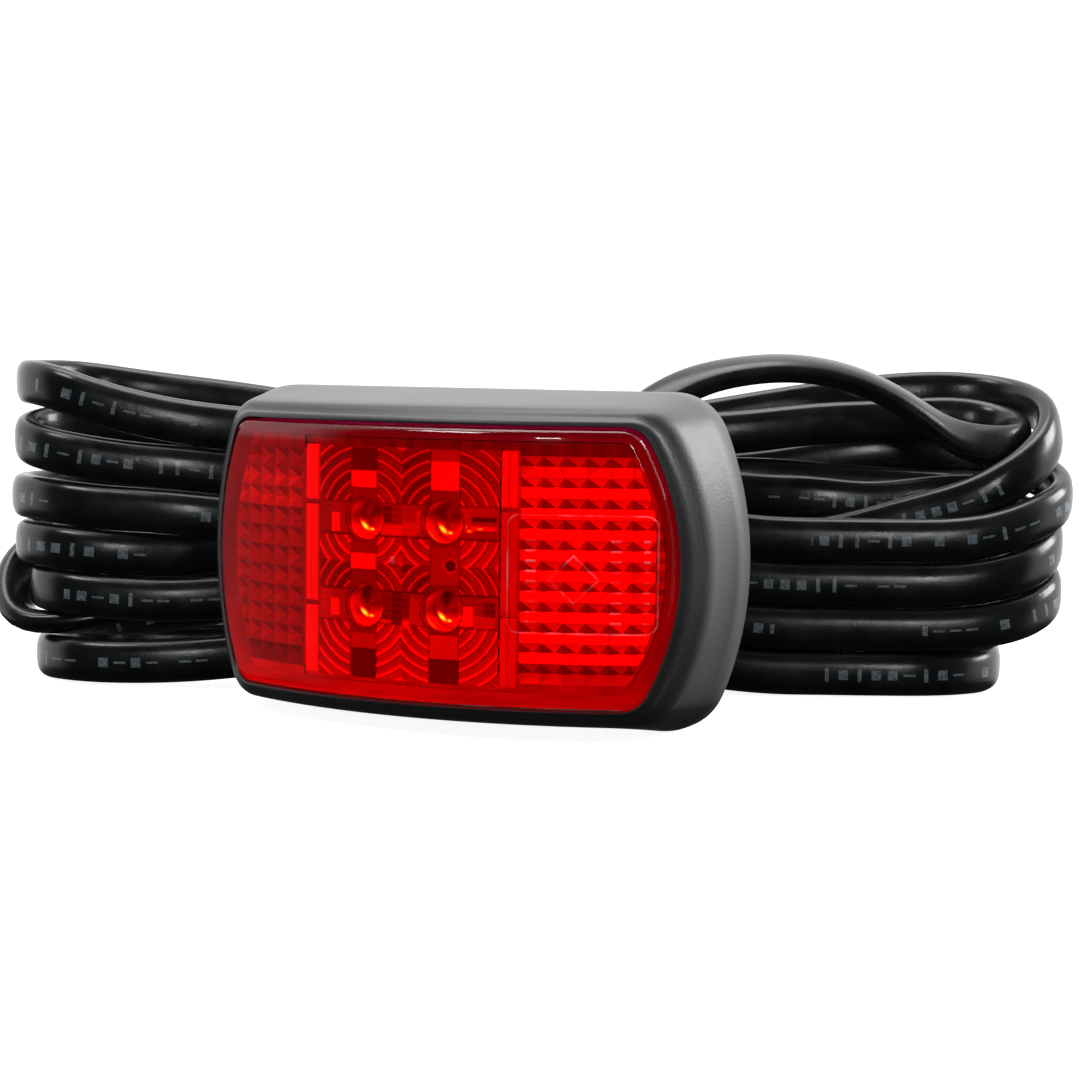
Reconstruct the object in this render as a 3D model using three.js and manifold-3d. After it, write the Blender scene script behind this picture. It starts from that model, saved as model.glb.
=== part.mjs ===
// LED tail light for a trailer: clip-on cover, red lens with reflex panels, board with four LEDs,
// sealed tub, and a flat twin-core lead wound into a tied hank behind it.
// Millimetres, +Z up, the lens faces -Y, the lamp stands on the rim of its cover at Z = 0.

import * as THREE from 'three';
import { mergeVertices } from 'three/addons/utils/BufferGeometryUtils.js';
import Module from 'manifold-3d';

const wasm = await Module();
wasm.setup();

// ---------------------------------------------------------------- driving dimensions
const HEIGHT = 43;                       // cover, bottom rim to top rim
const HALF_W = 37.4;                     // cover, half of the overall width
const DEPTH = 23;                        // lens crown to the back of the mounting pad
const MID_Z = HEIGHT / 2;
const FRONT_Y = -DEPTH / 2;
const BACK_Y = DEPTH / 2;
const GAP = 0.3;                         // clearance between neighbouring parts

const LENS_R = 64.1;                     // radius of the bowed lens, about a vertical axis
const BOW_Y = FRONT_Y + LENS_R;          // where that axis stands
const COVER_EDGE_R = LENS_R - 1.6;       // bow of the cover's outer front edge
const WINDOW_R = LENS_R - 0.9;           // bow of the window's edge
const LENS_WALL = 2.0;
const INNER_R = LENS_R - LENS_WALL;      // bow of the lens's inner face

const COVER_BACK_Y = BACK_Y - 0.5;
const RIM_Y = COVER_BACK_Y - 3.0;        // the straight rim that the lamp stands on ends here
const TUB_BACK_Y = BACK_Y - 1.3;
const TUB_FLOOR = 1.4;
const TUB_RIM_Y = 8.1;
const LENS_FOOT_Y = 7.2;

const BOARD_Y = -1.0;                    // front face of the board
const BOARD_T = 1.6;
const OPTIC_X = -1.65;                   // the optic and the LEDs sit a little left of the middle
const LED_PITCH = 11;
const LED_R = 2.45;
const SCREW_X = 18;
const INSERT_X = 25.5;

const CORD_W = 6.2;                      // flat cord, wide side
const CORD_T = 3.4;                      // flat cord, thin side
const CORD_EXIT = new THREE.Vector3(10, BACK_Y + 4, MID_Z);

const HANK_TURN = THREE.MathUtils.degToRad(24);   // the hank lies askew behind the lamp
const HANK_FRONT = 27;                   // from the origin to the hank's front, square to its run
const HANK_DEPTH = 31;
const HANK_HEIGHT = 48;
const HANK_LEFT = -67;
const HANK_RIGHT = 91;
const HANK_FOOT = 0.1;
const WAIST_AT = 8;                      // where the tie draws the hank in
const WAIST_HEIGHT = 34;
const WAIST_DEPTH = 19.5;
const WAIST_Z = 22.6;                    // height of the middle of the waist
const TAIL_AT = -24;                     // where the sheath of the free end stops, behind the hank
const TAIL_Z = 37.8;

// ---------------------------------------------------------------- materials
const material = (color, roughness, metalness = 0, extra = {}) =>
  new THREE.MeshStandardMaterial({ color, roughness, metalness, ...extra });

const SATIN_GREY = () => material(0x35373c, 0.5);
const BLACK_PLASTIC = () => material(0x17181a, 0.55);
const BLACK_RUBBER = () => material(0x121314, 0.8);
const RED_LENS = () => material(0xd00408, 0.08, 0, { transparent: true, opacity: 0.6 });
const RED_REFLEX = () => material(0xb80206, 0.15);
const BOARD_GREEN = () => material(0x1d5a33, 0.5);
const LED_RESIN = () => material(0xf0a060, 0.1);
const STEEL = () => material(0xb9bcc0, 0.3, 0.9);
const BRASS = () => material(0xb5903c, 0.3, 0.9);
const COMPONENT_BLACK = () => material(0x1b1b1d, 0.5);
const TINNED = () => material(0xc0c3c6, 0.35, 0.9);

const lamp = new THREE.Group();
lamp.name = 'trailer_tail_light';

function addPart(name, geometry, mat, place = {}) {
  const mesh = new THREE.Mesh(geometry, mat);
  mesh.name = name;
  if (place.position) mesh.position.copy(place.position);
  if (place.rotation) mesh.rotation.set(...place.rotation);
  (place.parent ?? lamp).add(mesh);
  return mesh;
}

// ---------------------------------------------------------------- shape helpers
// y of a face bowed about the vertical axis at BOW_Y
const bow = (radius, x) => BOW_Y - Math.sqrt(radius * radius - x * x);

// A barrel outline: straight top and bottom, ends bulging by `sag`, corners of radius `r`.
// Every outline has the same number of points, so outlines can be lofted into each other.
function barrel({ w, h, sag, r }) {
  const endR = (h * h + sag * sag) / (2 * sag);
  const endX = w - endR;
  const cornerZ = h - r;
  const cornerX = endX + Math.sqrt((endR - r) ** 2 - cornerZ ** 2);
  const turn = Math.atan2(cornerZ, cornerX - endX);
  const quarter = [];
  for (let i = 0; i <= 6; i += 1) {
    const a = turn * i / 6;
    quarter.push([endX + endR * Math.cos(a), endR * Math.sin(a)]);
  }
  for (let i = 1; i <= 4; i += 1) {
    const a = turn + (Math.PI / 2 - turn) * i / 4;
    quarter.push([cornerX + r * Math.cos(a), cornerZ + r * Math.sin(a)]);
  }
  for (let i = 1; i <= 6; i += 1) quarter.push([cornerX * (1 - i / 6), h]);
  const upper = [...quarter, ...quarter.slice(0, -1).reverse().map(([x, z]) => [-x, z])];
  const lower = upper.slice(1, -1).reverse().map(([x, z]) => [x, -z]);
  return [...upper, ...lower];
}

const blend = (a, b, t) => ({
  w: a.w + (b.w - a.w) * t,
  h: a.h + (b.h - a.h) * t,
  sag: a.sag + (b.sag - a.sag) * t,
  r: a.r + (b.r - a.r) * t,
});

const inset = (o, d) => ({ w: o.w - d, h: o.h - d, sag: o.sag, r: Math.max(o.r - d, 1) });

// one ring of a loft: an outline whose y is a number or a function of x
const ring = (outline, y, scale = 1) => barrel(outline).map(([x, z]) => {
  const px = x * scale;
  return new THREE.Vector3(px, typeof y === 'function' ? y(px) : y, MID_Z + z * scale);
});

const pole = (y) => new THREE.Vector3(0, y, MID_Z);

// Skins a list of rings. Open lists are closed by a pole at each end, wrapped lists by themselves.
function loft(rings, { wrap = false, start = null, end = null } = {}) {
  const n = rings[0].length;
  const points = rings.flat().flatMap((p) => [p.x, p.y, p.z]);
  const index = [];
  const bands = wrap ? rings.length : rings.length - 1;
  for (let k = 0; k < bands; k += 1) {
    const a = k * n;
    const b = ((k + 1) % rings.length) * n;
    for (let i = 0; i < n; i += 1) {
      const j = (i + 1) % n;
      index.push(a + i, a + j, b + i, a + j, b + j, b + i);
    }
  }
  if (start) {
    const c = points.length / 3;
    points.push(start.x, start.y, start.z);
    for (let i = 0; i < n; i += 1) index.push(c, (i + 1) % n, i);
  }
  if (end) {
    const c = points.length / 3;
    const base = (rings.length - 1) * n;
    points.push(end.x, end.y, end.z);
    for (let i = 0; i < n; i += 1) index.push(c, base + i, base + (i + 1) % n);
  }
  const geometry = new THREE.BufferGeometry();
  geometry.setAttribute('position', new THREE.Float32BufferAttribute(points, 3));
  geometry.setIndex(index);
  return facingOut(geometry);
}

// turns the triangles round when the closed body came out inside out
function facingOut(geometry) {
  const p = geometry.attributes.position;
  const ix = geometry.index.array;
  const [a, b, c] = [new THREE.Vector3(), new THREE.Vector3(), new THREE.Vector3()];
  let volume = 0;
  for (let i = 0; i < ix.length; i += 3) {
    a.fromBufferAttribute(p, ix[i]);
    b.fromBufferAttribute(p, ix[i + 1]);
    c.fromBufferAttribute(p, ix[i + 2]);
    volume += a.dot(b.cross(c));
  }
  if (volume < 0) {
    for (let i = 0; i < ix.length; i += 3) [ix[i], ix[i + 1]] = [ix[i + 1], ix[i]];
  }
  geometry.computeVertexNormals();
  return geometry;
}

function toManifold(geometry) {
  const m = mergeVertices(stripped(geometry), 1e-4);
  return new wasm.Manifold(new wasm.Mesh({
    numProp: 3,
    vertProperties: new Float32Array(m.attributes.position.array),
    triVerts: new Uint32Array(m.index.array),
  }));
}

function toGeometry(manifold) {
  const m = manifold.getMesh();
  const g = new THREE.BufferGeometry();
  g.setAttribute('position', new THREE.BufferAttribute(new Float32Array(m.vertProperties), 3));
  g.setIndex(new THREE.BufferAttribute(new Uint32Array(m.triVerts), 1));
  g.computeVertexNormals();
  return g;
}

const join = (...parts) => toGeometry(parts.map(toManifold).reduce((a, b) => a.add(b)));

const cut = (body, ...tools) =>
  toGeometry(tools.map(toManifold).reduce((a, b) => a.subtract(b), toManifold(body)));

const at = (geometry, x, y, z) => geometry.clone().translate(x, y, z);

// a round bar along Y from y0 to y1
function rod(radius, y0, y1, sides = 24) {
  return new THREE.CylinderGeometry(radius, radius, y1 - y0, sides).translate(0, (y0 + y1) / 2, 0);
}

const block = (w, d, h) => new THREE.BoxGeometry(w, d, h);

function stripped(geometry) {
  const g = geometry.clone();
  g.deleteAttribute('normal');
  g.deleteAttribute('uv');
  return g;
}

// a turned body about Y, from a closed profile of [radius, y] points
function lathed(profile, sides = 24) {
  const points = profile.map(([r, y]) => new THREE.Vector2(r, y));
  return facingOut(mergeVertices(stripped(new THREE.LatheGeometry(points, sides)), 1e-4));
}

// ---------------------------------------------------------------- outlines
const COVER_BACK = { w: HALF_W, h: HEIGHT / 2, sag: 5.6, r: 7.5 };
const COVER_FRONT = { w: 35.9, h: 19.8, sag: 5.3, r: 5.6 };
const WINDOW = { w: 32.55, h: 17.4, sag: 4.4, r: 3.4 };
const LENS_FACE = inset(WINDOW, GAP);
const COVER_INSIDE = { w: 35.6, h: 19.7, sag: 5.3, r: 6.0 };
const TUB = { w: 35.2, h: 19.3, sag: 5.2, r: 5.7 };
const TUB_INSIDE = { w: 33.4, h: 17.5, sag: 4.8, r: 4.4 };

// ---------------------------------------------------------------- cover
function frontCover() {
  const edge = (x) => bow(COVER_EDGE_R, x);
  const window = (x) => bow(WINDOW_R, x);
  const between = (t) => (x) => edge(x) * (1 - t) + window(x) * t;
  return loft([
    ring(COVER_BACK, COVER_BACK_Y),
    ring(COVER_BACK, RIM_Y),
    ring(blend(COVER_BACK, COVER_FRONT, 0.55), (x) => RIM_Y * 0.45 + (edge(x) + 2.6) * 0.55),
    ring(COVER_FRONT, (x) => edge(x) + 2.6),
    ring(inset(COVER_FRONT, 0.5), (x) => edge(x) + 1.1),
    ring(inset(COVER_FRONT, 1.5), (x) => edge(x) + 0.25),
    ring(blend(COVER_FRONT, WINDOW, 0.7), between(0.65)),
    ring(WINDOW, window),
    ring(WINDOW, (x) => window(x) + 1.5),
    ring(inset(COVER_FRONT, 2.2), (x) => edge(x) + 2.2),
    ring(inset(COVER_FRONT, 1.8), (x) => edge(x) + 3.6),
    ring(COVER_INSIDE, LENS_FOOT_Y - 1.9),
    ring(COVER_INSIDE, COVER_BACK_Y),
  ], { wrap: true });
}

// ---------------------------------------------------------------- lens and optics
const WELL = inset(LENS_FACE, 1.6);      // the hollow behind the lens's face

function lens() {
  const face = (x) => bow(LENS_R, x);
  const inner = (x) => bow(INNER_R, x);
  const well = WELL;
  const foot = inset(TUB, 0.3);
  return loft([
    ring(LENS_FACE, face, 0.3),
    ring(LENS_FACE, face, 0.6),
    ring(LENS_FACE, face, 0.85),
    ring(inset(LENS_FACE, 0.9), (x) => face(x) + 0.05),
    ring(inset(LENS_FACE, 0.2), (x) => face(x) + 0.45),
    ring(LENS_FACE, (x) => face(x) + 1.1),
    ring(LENS_FACE, LENS_FOOT_Y - 1.6),
    ring(foot, LENS_FOOT_Y - 1.2),
    ring(foot, LENS_FOOT_Y),
    ring(well, LENS_FOOT_Y),
    ring(well, (x) => inner(x) + 0.4),
    ring(inset(well, 0.5), inner),
    ring(well, inner, 0.85),
    ring(well, inner, 0.7),
    ring(well, inner, 0.5),
    ring(well, inner, 0.25),
  ], { start: pole(face(0)), end: pole(inner(0)) });
}

function lensSeal() {
  const outer = inset(TUB, 0.6);
  const inner = inset(TUB, 1.6);
  const y0 = LENS_FOOT_Y + 0.15;
  const y1 = TUB_RIM_Y - 0.15;
  return loft([ring(outer, y0), ring(outer, y1), ring(inner, y1), ring(inner, y0)], { wrap: true });
}

// A slab bowed like the lens's inner face, from x0 to x1 and z0 to z1, on a grid of cells.
// Each cell of its back can carry a pyramid. Its outer columns narrow to fit the bulging ends.
function bowedSlab({ x0, x1, z0, z1, cols, rows, thick, pyramid = 0 }) {
  const front = (x) => bow(INNER_R, x) + 0.25;
  const endR = (WELL.h * WELL.h + WELL.sag * WELL.sag) / (2 * WELL.sag);
  const limit = (z) => WELL.w - endR + Math.sqrt(endR * endR - (z - MID_Z) ** 2) - 0.5;
  const points = [];
  const index = [];
  const id = (side, i, k) => side * (cols + 1) * (rows + 1) + k * (cols + 1) + i;
  const zs = (k) => z0 + (z1 - z0) * k / rows;
  const xs = (i, k) => THREE.MathUtils.clamp(x0 + (x1 - x0) * i / cols, -limit(zs(k)), limit(zs(k)));
  for (const side of [0, 1]) {
    for (let k = 0; k <= rows; k += 1) {
      for (let i = 0; i <= cols; i += 1) points.push(xs(i, k), front(xs(i, k)) + side * thick, zs(k));
    }
  }
  for (let k = 0; k < rows; k += 1) {
    for (let i = 0; i < cols; i += 1) {
      index.push(id(0, i, k), id(0, i + 1, k), id(0, i + 1, k + 1));
      index.push(id(0, i, k), id(0, i + 1, k + 1), id(0, i, k + 1));
      const [a, b, c, d] = [id(1, i, k), id(1, i, k + 1), id(1, i + 1, k + 1), id(1, i + 1, k)];
      if (pyramid > 0) {
        const tip = points.length / 3;
        const x = (xs(i, k + 0.5) + xs(i + 1, k + 0.5)) / 2;
        points.push(x, front(x) + thick + pyramid, zs(k + 0.5));
        index.push(a, b, tip, b, c, tip, c, d, tip, d, a, tip);
      } else {
        index.push(a, b, c, a, c, d);
      }
    }
  }
  for (let i = 0; i < cols; i += 1) {
    index.push(id(0, i, 0), id(1, i, 0), id(1, i + 1, 0), id(0, i, 0), id(1, i + 1, 0), id(0, i + 1, 0));
    index.push(id(0, i, rows), id(1, i + 1, rows), id(1, i, rows));
    index.push(id(0, i, rows), id(0, i + 1, rows), id(1, i + 1, rows));
  }
  for (let k = 0; k < rows; k += 1) {
    index.push(id(0, 0, k), id(1, 0, k + 1), id(1, 0, k), id(0, 0, k), id(0, 0, k + 1), id(1, 0, k + 1));
    index.push(id(0, cols, k), id(1, cols, k), id(1, cols, k + 1));
    index.push(id(0, cols, k), id(1, cols, k + 1), id(0, cols, k + 1));
  }
  const geometry = new THREE.BufferGeometry();
  geometry.setAttribute('position', new THREE.Float32BufferAttribute(points, 3));
  geometry.setIndex(index);
  return facingOut(geometry);
}

// a ring-shaped ridge standing on the back of the optic, bowed with it
function ringRidge(x, z, r0, r1, height) {
  const n = 24;
  const backOf = (px) => bow(INNER_R, px) + 0.25 + 1.0;
  const circle = (r, dy) => Array.from({ length: n }, (_, i) => {
    const a = 2 * Math.PI * i / n;
    const px = x + r * Math.cos(a);
    return new THREE.Vector3(px, backOf(px) + dy, z + r * Math.sin(a));
  });
  return loft([circle(r0, -0.5), circle(r1, -0.5), circle(r1, height), circle(r0, height)], { wrap: true });
}

const LED_SPOTS = [[-1, 1], [1, 1], [-1, -1], [1, -1]]
  .map(([i, k]) => [OPTIC_X + i * LED_PITCH / 2, MID_Z - 0.3 + k * LED_PITCH / 2]);

function ringOptic() {
  const plate = bowedSlab({ x0: -14.1, x1: 11.3, z0: 6.6, z1: 35.8, cols: 10, rows: 2, thick: 1.0 });
  const ridges = LED_SPOTS.flatMap(([x, z]) => [[3.3, 3.9], [4.6, 5.2]]
    .map(([r0, r1]) => ringRidge(x, z, r0, r1, 0.4)));
  return join(plate, ...ridges);
}

// three flat light guides in line, held together by a thin web
function lightBar(x0, x1) {
  const z0 = 6.6;
  const z1 = 35.8;
  const notch = 0.6;
  const breaks = [MID_Z - 6, MID_Z + 7];
  const web = bowedSlab({ x0, x1, z0, z1, cols: 2, rows: 1, thick: 0.6 });
  const ends = [z0, ...breaks, z1];
  const pads = ends.slice(1).map((top, i) => bowedSlab({
    x0,
    x1,
    z0: ends[i] + (i > 0 ? notch : 0),
    z1: top - (i < 2 ? notch : 0),
    cols: 2,
    rows: 1,
    thick: 1.6,
  }));
  return join(web, ...pads);
}

// ---------------------------------------------------------------- tub and board
function tub() {
  const shell = loft([
    ring(TUB, TUB_BACK_Y, 0.5),
    ring(TUB, TUB_BACK_Y),
    ring(TUB, TUB_RIM_Y),
    ring(TUB_INSIDE, TUB_RIM_Y),
    ring(TUB_INSIDE, TUB_BACK_Y - TUB_FLOOR),
    ring(TUB_INSIDE, TUB_BACK_Y - TUB_FLOOR, 0.5),
  ], { start: pole(TUB_BACK_Y), end: pole(TUB_BACK_Y - TUB_FLOOR) });
  const postTop = BOARD_Y + BOARD_T + 0.2;
  const floorY = TUB_BACK_Y - TUB_FLOOR + 0.5;
  const posts = [-1, 1].map((s) => at(rod(2.7, postTop, floorY), s * SCREW_X, 0, MID_Z));
  const bosses = [-1, 1].map((s) => at(rod(4.2, 3.2, floorY), s * INSERT_X, 0, MID_Z));
  const postHoles = [-1, 1].map((s) => at(rod(1.3, postTop - 1, postTop + 7), s * SCREW_X, 0, MID_Z));
  const insertHoles = [-1, 1].map((s) => at(rod(3.1, 4.2, TUB_BACK_Y + 1), s * INSERT_X, 0, MID_Z));
  const cordHole = at(block(CORD_T + 3.2, 4, CORD_W + 3.2), CORD_EXIT.x, TUB_BACK_Y - 1, CORD_EXIT.z);
  return cut(join(shell, ...posts, ...bosses), ...postHoles, ...insertHoles, cordHole);
}

function mountingPad() {
  const outline = inset(TUB, 1.5);
  const y0 = TUB_BACK_Y + 0.15;
  const pad = loft([ring(outline, y0, 0.5), ring(outline, y0), ring(outline, BACK_Y), ring(outline, BACK_Y, 0.5)],
    { start: pole(y0), end: pole(BACK_Y) });
  const holes = [-1, 1].map((s) => at(rod(3.4, y0 - 1, BACK_Y + 1), s * INSERT_X, 0, MID_Z));
  const cordHole = at(block(CORD_T + 3.2, 4, CORD_W + 3.2), CORD_EXIT.x, BACK_Y - 1, CORD_EXIT.z);
  return cut(pad, ...holes, cordHole);
}

function threadedInsert() {
  return lathed([[1.7, 0], [2.8, 0], [2.8, 2.2], [2.5, 2.6], [2.5, 3.2], [2.8, 3.6], [2.8, 5.6],
    [1.7, 5.6], [1.7, 0]], 20);
}

function circuitBoard() {
  const w = 25;
  const h = 14.5;
  const r = 2.5;
  const shape = new THREE.Shape();
  shape.moveTo(-w + r, -h);
  shape.lineTo(w - r, -h);
  shape.absarc(w - r, -h + r, r, -Math.PI / 2, 0);
  shape.lineTo(w, h - r);
  shape.absarc(w - r, h - r, r, 0, Math.PI / 2);
  shape.lineTo(-w + r, h);
  shape.absarc(-w + r, h - r, r, Math.PI / 2, Math.PI);
  shape.lineTo(-w, -h + r);
  shape.absarc(-w + r, -h + r, r, Math.PI, 1.5 * Math.PI);
  for (const x of [-SCREW_X, SCREW_X]) {
    const hole = new THREE.Path();
    hole.absarc(x, 0, 1.5, 0, 2 * Math.PI, true);
    shape.holes.push(hole);
  }
  const plate = new THREE.ExtrudeGeometry(shape, { depth: BOARD_T, bevelEnabled: false, curveSegments: 8 });
  return plate.rotateX(Math.PI / 2).translate(0, BOARD_Y + BOARD_T, MID_Z);
}

function led() {
  const base = at(block(7.2, 2.0, 7.2), 0, -1.2, 0);
  const dome = lathed([[0, -1.0], [LED_R + 0.35, -1.0], [LED_R + 0.35, -2.7], [LED_R, -2.9], [LED_R, -3.6],
    ...[15, 32, 50, 70].map((d) => THREE.MathUtils.degToRad(d))
      .map((a) => [LED_R * Math.cos(a), -3.6 - LED_R * Math.sin(a)]),
    [0, -3.6 - LED_R]], 20);
  return join(base, dome);
}

function boardScrew() {
  const head = lathed([[0, -1.9], [1.2, -1.9], [2.1, -1.5], [2.3, -0.9], [2.3, -0.2], [1.05, -0.2],
    [1.05, 6.4], [0, 7.4]], 20);
  const slots = [block(2.4, 1.2, 0.5), block(0.5, 1.2, 2.4)].map((s) => at(s, 0, -1.9, 0));
  return cut(head, ...slots);
}

// ---------------------------------------------------------------- cord
function grommet() {
  const size = (grow) => [CORD_T + grow, CORD_W + grow];
  const layer = (grow, y0, y1) => {
    const [w, h] = size(grow);
    return block(w, y1 - y0, h).translate(0, (y0 + y1) / 2, 0);
  };
  const y0 = TUB_BACK_Y - TUB_FLOOR;
  const body = join(
    layer(2.6, y0 - 2.2, BACK_Y + 1.0),
    layer(5.4, y0 - 2.2, y0 - 0.2),
    layer(1.9, BACK_Y + 0.5, BACK_Y + 2.4),
    layer(1.3, BACK_Y + 2.0, CORD_EXIT.y - 0.3),
  );
  return body.translate(CORD_EXIT.x, 0, CORD_EXIT.z);
}

// unit vectors along the hank's run and square to it, away from the lens
const ALONG = new THREE.Vector3(Math.cos(HANK_TURN), Math.sin(HANK_TURN), 0);
const AWAY = new THREE.Vector3(-Math.sin(HANK_TURN), Math.cos(HANK_TURN), 0);
const HANK_MID = HANK_FRONT + HANK_DEPTH / 2;
const inHank = (u, n, z) => new THREE.Vector3(0, 0, z).addScaledVector(ALONG, u).addScaledVector(AWAY, n);

// how far the tie draws the hank in at u, 1 at the tie and 0 far from it
const drawnIn = (u) => 1 / (1 + ((u - WAIST_AT) / 22) ** 2) ** 1.5;

const HANK_MID_Z = HANK_HEIGHT / 2 + HANK_FOOT;

function hankSection(u, depth) {
  const t = drawnIn(u);
  const middle = HANK_MID_Z + (WAIST_Z - HANK_MID_Z) * t;
  const h = (HANK_HEIGHT + (WAIST_HEIGHT - HANK_HEIGHT) * t) / 2;
  const d = depth / 2;
  const soft = Math.min(4, d * 0.8);
  const corner = (sn, sz, a0) => [0, 1, 2].map((i) => {
    const a = a0 + i * Math.PI / 4;
    return [sn * (d - soft) + soft * Math.cos(a), sz * (h - soft) + soft * Math.sin(a)];
  });
  const loop = [...corner(1, 1, 0), ...corner(-1, 1, Math.PI / 2),
    ...corner(-1, -1, Math.PI), ...corner(1, -1, 1.5 * Math.PI)];
  return loop.map(([n, z]) => inHank(u, HANK_MID + n, middle + z));
}

function cordHank() {
  const endR = HANK_DEPTH / 2;
  const depthAt = (u) => {
    const over = Math.max(HANK_LEFT + endR - u, u - (HANK_RIGHT - endR), 0);
    const round = Math.sqrt(Math.max(endR * endR - over * over, 0)) * 2;
    return Math.max(round - (HANK_DEPTH - WAIST_DEPTH) * drawnIn(u), 1);
  };
  const tip = [0, 0.8, 3, 7, 15];     // closer together where the round end turns away
  const stations = [
    ...tip.map((s) => HANK_LEFT + s),
    ...[-52, -34, -20, -10, -4, 0, 4, 10, 20, 34, 52].map((s) => WAIST_AT + s),
    ...tip.toReversed().map((s) => HANK_RIGHT - s),
  ];
  const rings = stations.map((u) => hankSection(u, depthAt(u)));
  return loft(rings, {
    start: inHank(HANK_LEFT, HANK_MID, HANK_MID_Z),
    end: inHank(HANK_RIGHT, HANK_MID, HANK_MID_Z),
  });
}

// a plastic strap round the waist of the hank
function hankTie() {
  const band = (grow, u) => {
    const h = WAIST_HEIGHT / 2 + grow;
    const d = WAIST_DEPTH / 2 + grow;
    const soft = 3.5;
    const points = [];
    for (const [sn, sz, a0] of [[1, 1, 0], [-1, 1, 0.5], [-1, -1, 1], [1, -1, 1.5]]) {
      for (const i of [0, 1, 2]) {
        const a = (a0 + i / 4) * Math.PI;
        points.push([sn * (d - soft) + soft * Math.cos(a), sz * (h - soft) + soft * Math.sin(a)]);
      }
    }
    return points.map(([n, z]) => inHank(u, HANK_MID + n, WAIST_Z + z));
  };
  const half = 2.2;
  return loft([
    band(0.8, WAIST_AT - half),
    band(2.0, WAIST_AT - half),
    band(2.0, WAIST_AT + half),
    band(0.8, WAIST_AT + half),
  ], { wrap: true });
}

// the lead from the grommet to the front of the hank, standing on its narrow edge
function cordLead() {
  const start = CORD_EXIT;
  const path = new THREE.CatmullRomCurve3([
    start,
    start.clone().add(new THREE.Vector3(0, 4, 0.1)),
    start.clone().add(new THREE.Vector3(0.8, 8.5, 1.7)),
    inHank(24, HANK_FRONT - 2.6, 33.5),
    inHank(31, HANK_FRONT - 0.8, 40.2),
  ], false, 'centripetal');
  const across = [];
  const n = 10;
  for (let i = 0; i < n; i += 1) {
    const a = 2 * Math.PI * i / n;
    across.push([Math.cos(a), Math.sin(a)]);
  }
  const steps = 20;
  const rings = [];
  for (let s = 0; s <= steps; s += 1) {
    const p = path.getPointAt(s / steps);
    const t = path.getTangentAt(s / steps);
    const side = new THREE.Vector3(t.y, -t.x, 0).normalize();
    const up = new THREE.Vector3().crossVectors(side, t).normalize();
    rings.push(across.map(([c, d]) => p.clone()
      .addScaledVector(side, c * CORD_T / 2)
      .addScaledVector(up, d * CORD_W / 2)));
  }
  return loft(rings, { start: path.getPointAt(0), end: path.getPointAt(1) });
}

// a straight round wire between two points
function wire(from, to, radius, sides) {
  const dir = to.clone().sub(from);
  const turn = new THREE.Quaternion().setFromUnitVectors(new THREE.Vector3(0, 1, 0), dir.clone().normalize());
  const mid = from.clone().add(to).multiplyScalar(0.5);
  return new THREE.CylinderGeometry(radius, radius, dir.length(), sides)
    .applyQuaternion(turn)
    .translate(mid.x, mid.y, mid.z);
}

// the free end's stripped cores behind the hank, one above the other, spreading as they leave the sheath
const tailPoint = (side, far) =>
  inHank(TAIL_AT - far, HANK_FRONT + HANK_DEPTH + 1.4 + 0.06 * far, TAIL_Z + side * (1.45 + 0.07 * far));

const coreTail = (side) => wire(tailPoint(side, 0.6), tailPoint(side, 12), 0.95, 12);
const coreTip = (side) => wire(tailPoint(side, 12.3), tailPoint(side, 17.5), 0.5, 8);

// ---------------------------------------------------------------- assembly
addPart('front_cover', frontCover(), SATIN_GREY());
addPart('lens', lens(), RED_LENS());
addPart('lens_seal', lensSeal(), BLACK_RUBBER());
addPart('reflex_left', bowedSlab({
  x0: -29.9, x1: -16.9, z0: 7.2, z1: 35.2, cols: 5, rows: 11, thick: 0.8, pyramid: 1.2,
}), RED_REFLEX());
addPart('reflex_right', bowedSlab({
  x0: 14.0, x1: 29.5, z0: 7.2, z1: 35.2, cols: 6, rows: 11, thick: 0.8, pyramid: 1.2,
}), RED_REFLEX());
addPart('ring_optic', ringOptic(), RED_REFLEX());
addPart('light_bar_left', lightBar(-16.5, -14.3), RED_REFLEX());
addPart('light_bar_right', lightBar(11.5, 13.7), RED_REFLEX());
addPart('tub', tub(), BLACK_PLASTIC());
addPart('mounting_pad', mountingPad(), BLACK_RUBBER());

for (const [name, s] of [['insert_left', -1], ['insert_right', 1]]) {
  addPart(name, threadedInsert(), BRASS(), { position: new THREE.Vector3(s * INSERT_X, 4.5, MID_Z) });
}

addPart('circuit_board', circuitBoard(), BOARD_GREEN());
LED_SPOTS.forEach(([x, z], i) => {
  addPart(`led_${i + 1}`, led(), LED_RESIN(), { position: new THREE.Vector3(x, BOARD_Y, z) });
});
for (const [name, s] of [['board_screw_left', -1], ['board_screw_right', 1]]) {
  addPart(name, boardScrew(), STEEL(), { position: new THREE.Vector3(s * SCREW_X, BOARD_Y, MID_Z) });
}
[[-13, 12], [-13, -12], [9, 12.4], [9, -12.6]].forEach(([x, z], i) => {
  addPart(`resistor_${i + 1}`, block(3.2, 0.7, 1.6), COMPONENT_BLACK(),
    { position: new THREE.Vector3(x, BOARD_Y - 0.55, MID_Z + z) });
});
const BOARD_BACK = BOARD_Y + BOARD_T;
addPart('diode', block(5.0, 2.2, 2.7), COMPONENT_BLACK(),
  { position: new THREE.Vector3(12, BOARD_BACK + 1.3, MID_Z - 10) });
addPart('regulator', block(6.6, 2.3, 6.2), COMPONENT_BLACK(),
  { position: new THREE.Vector3(-8, BOARD_BACK + 1.35, MID_Z + 7) });
addPart('capacitor', rod(2.6, 0.2, 5.4, 20), STEEL(),
  { position: new THREE.Vector3(-9, BOARD_BACK, MID_Z - 8) });

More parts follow.
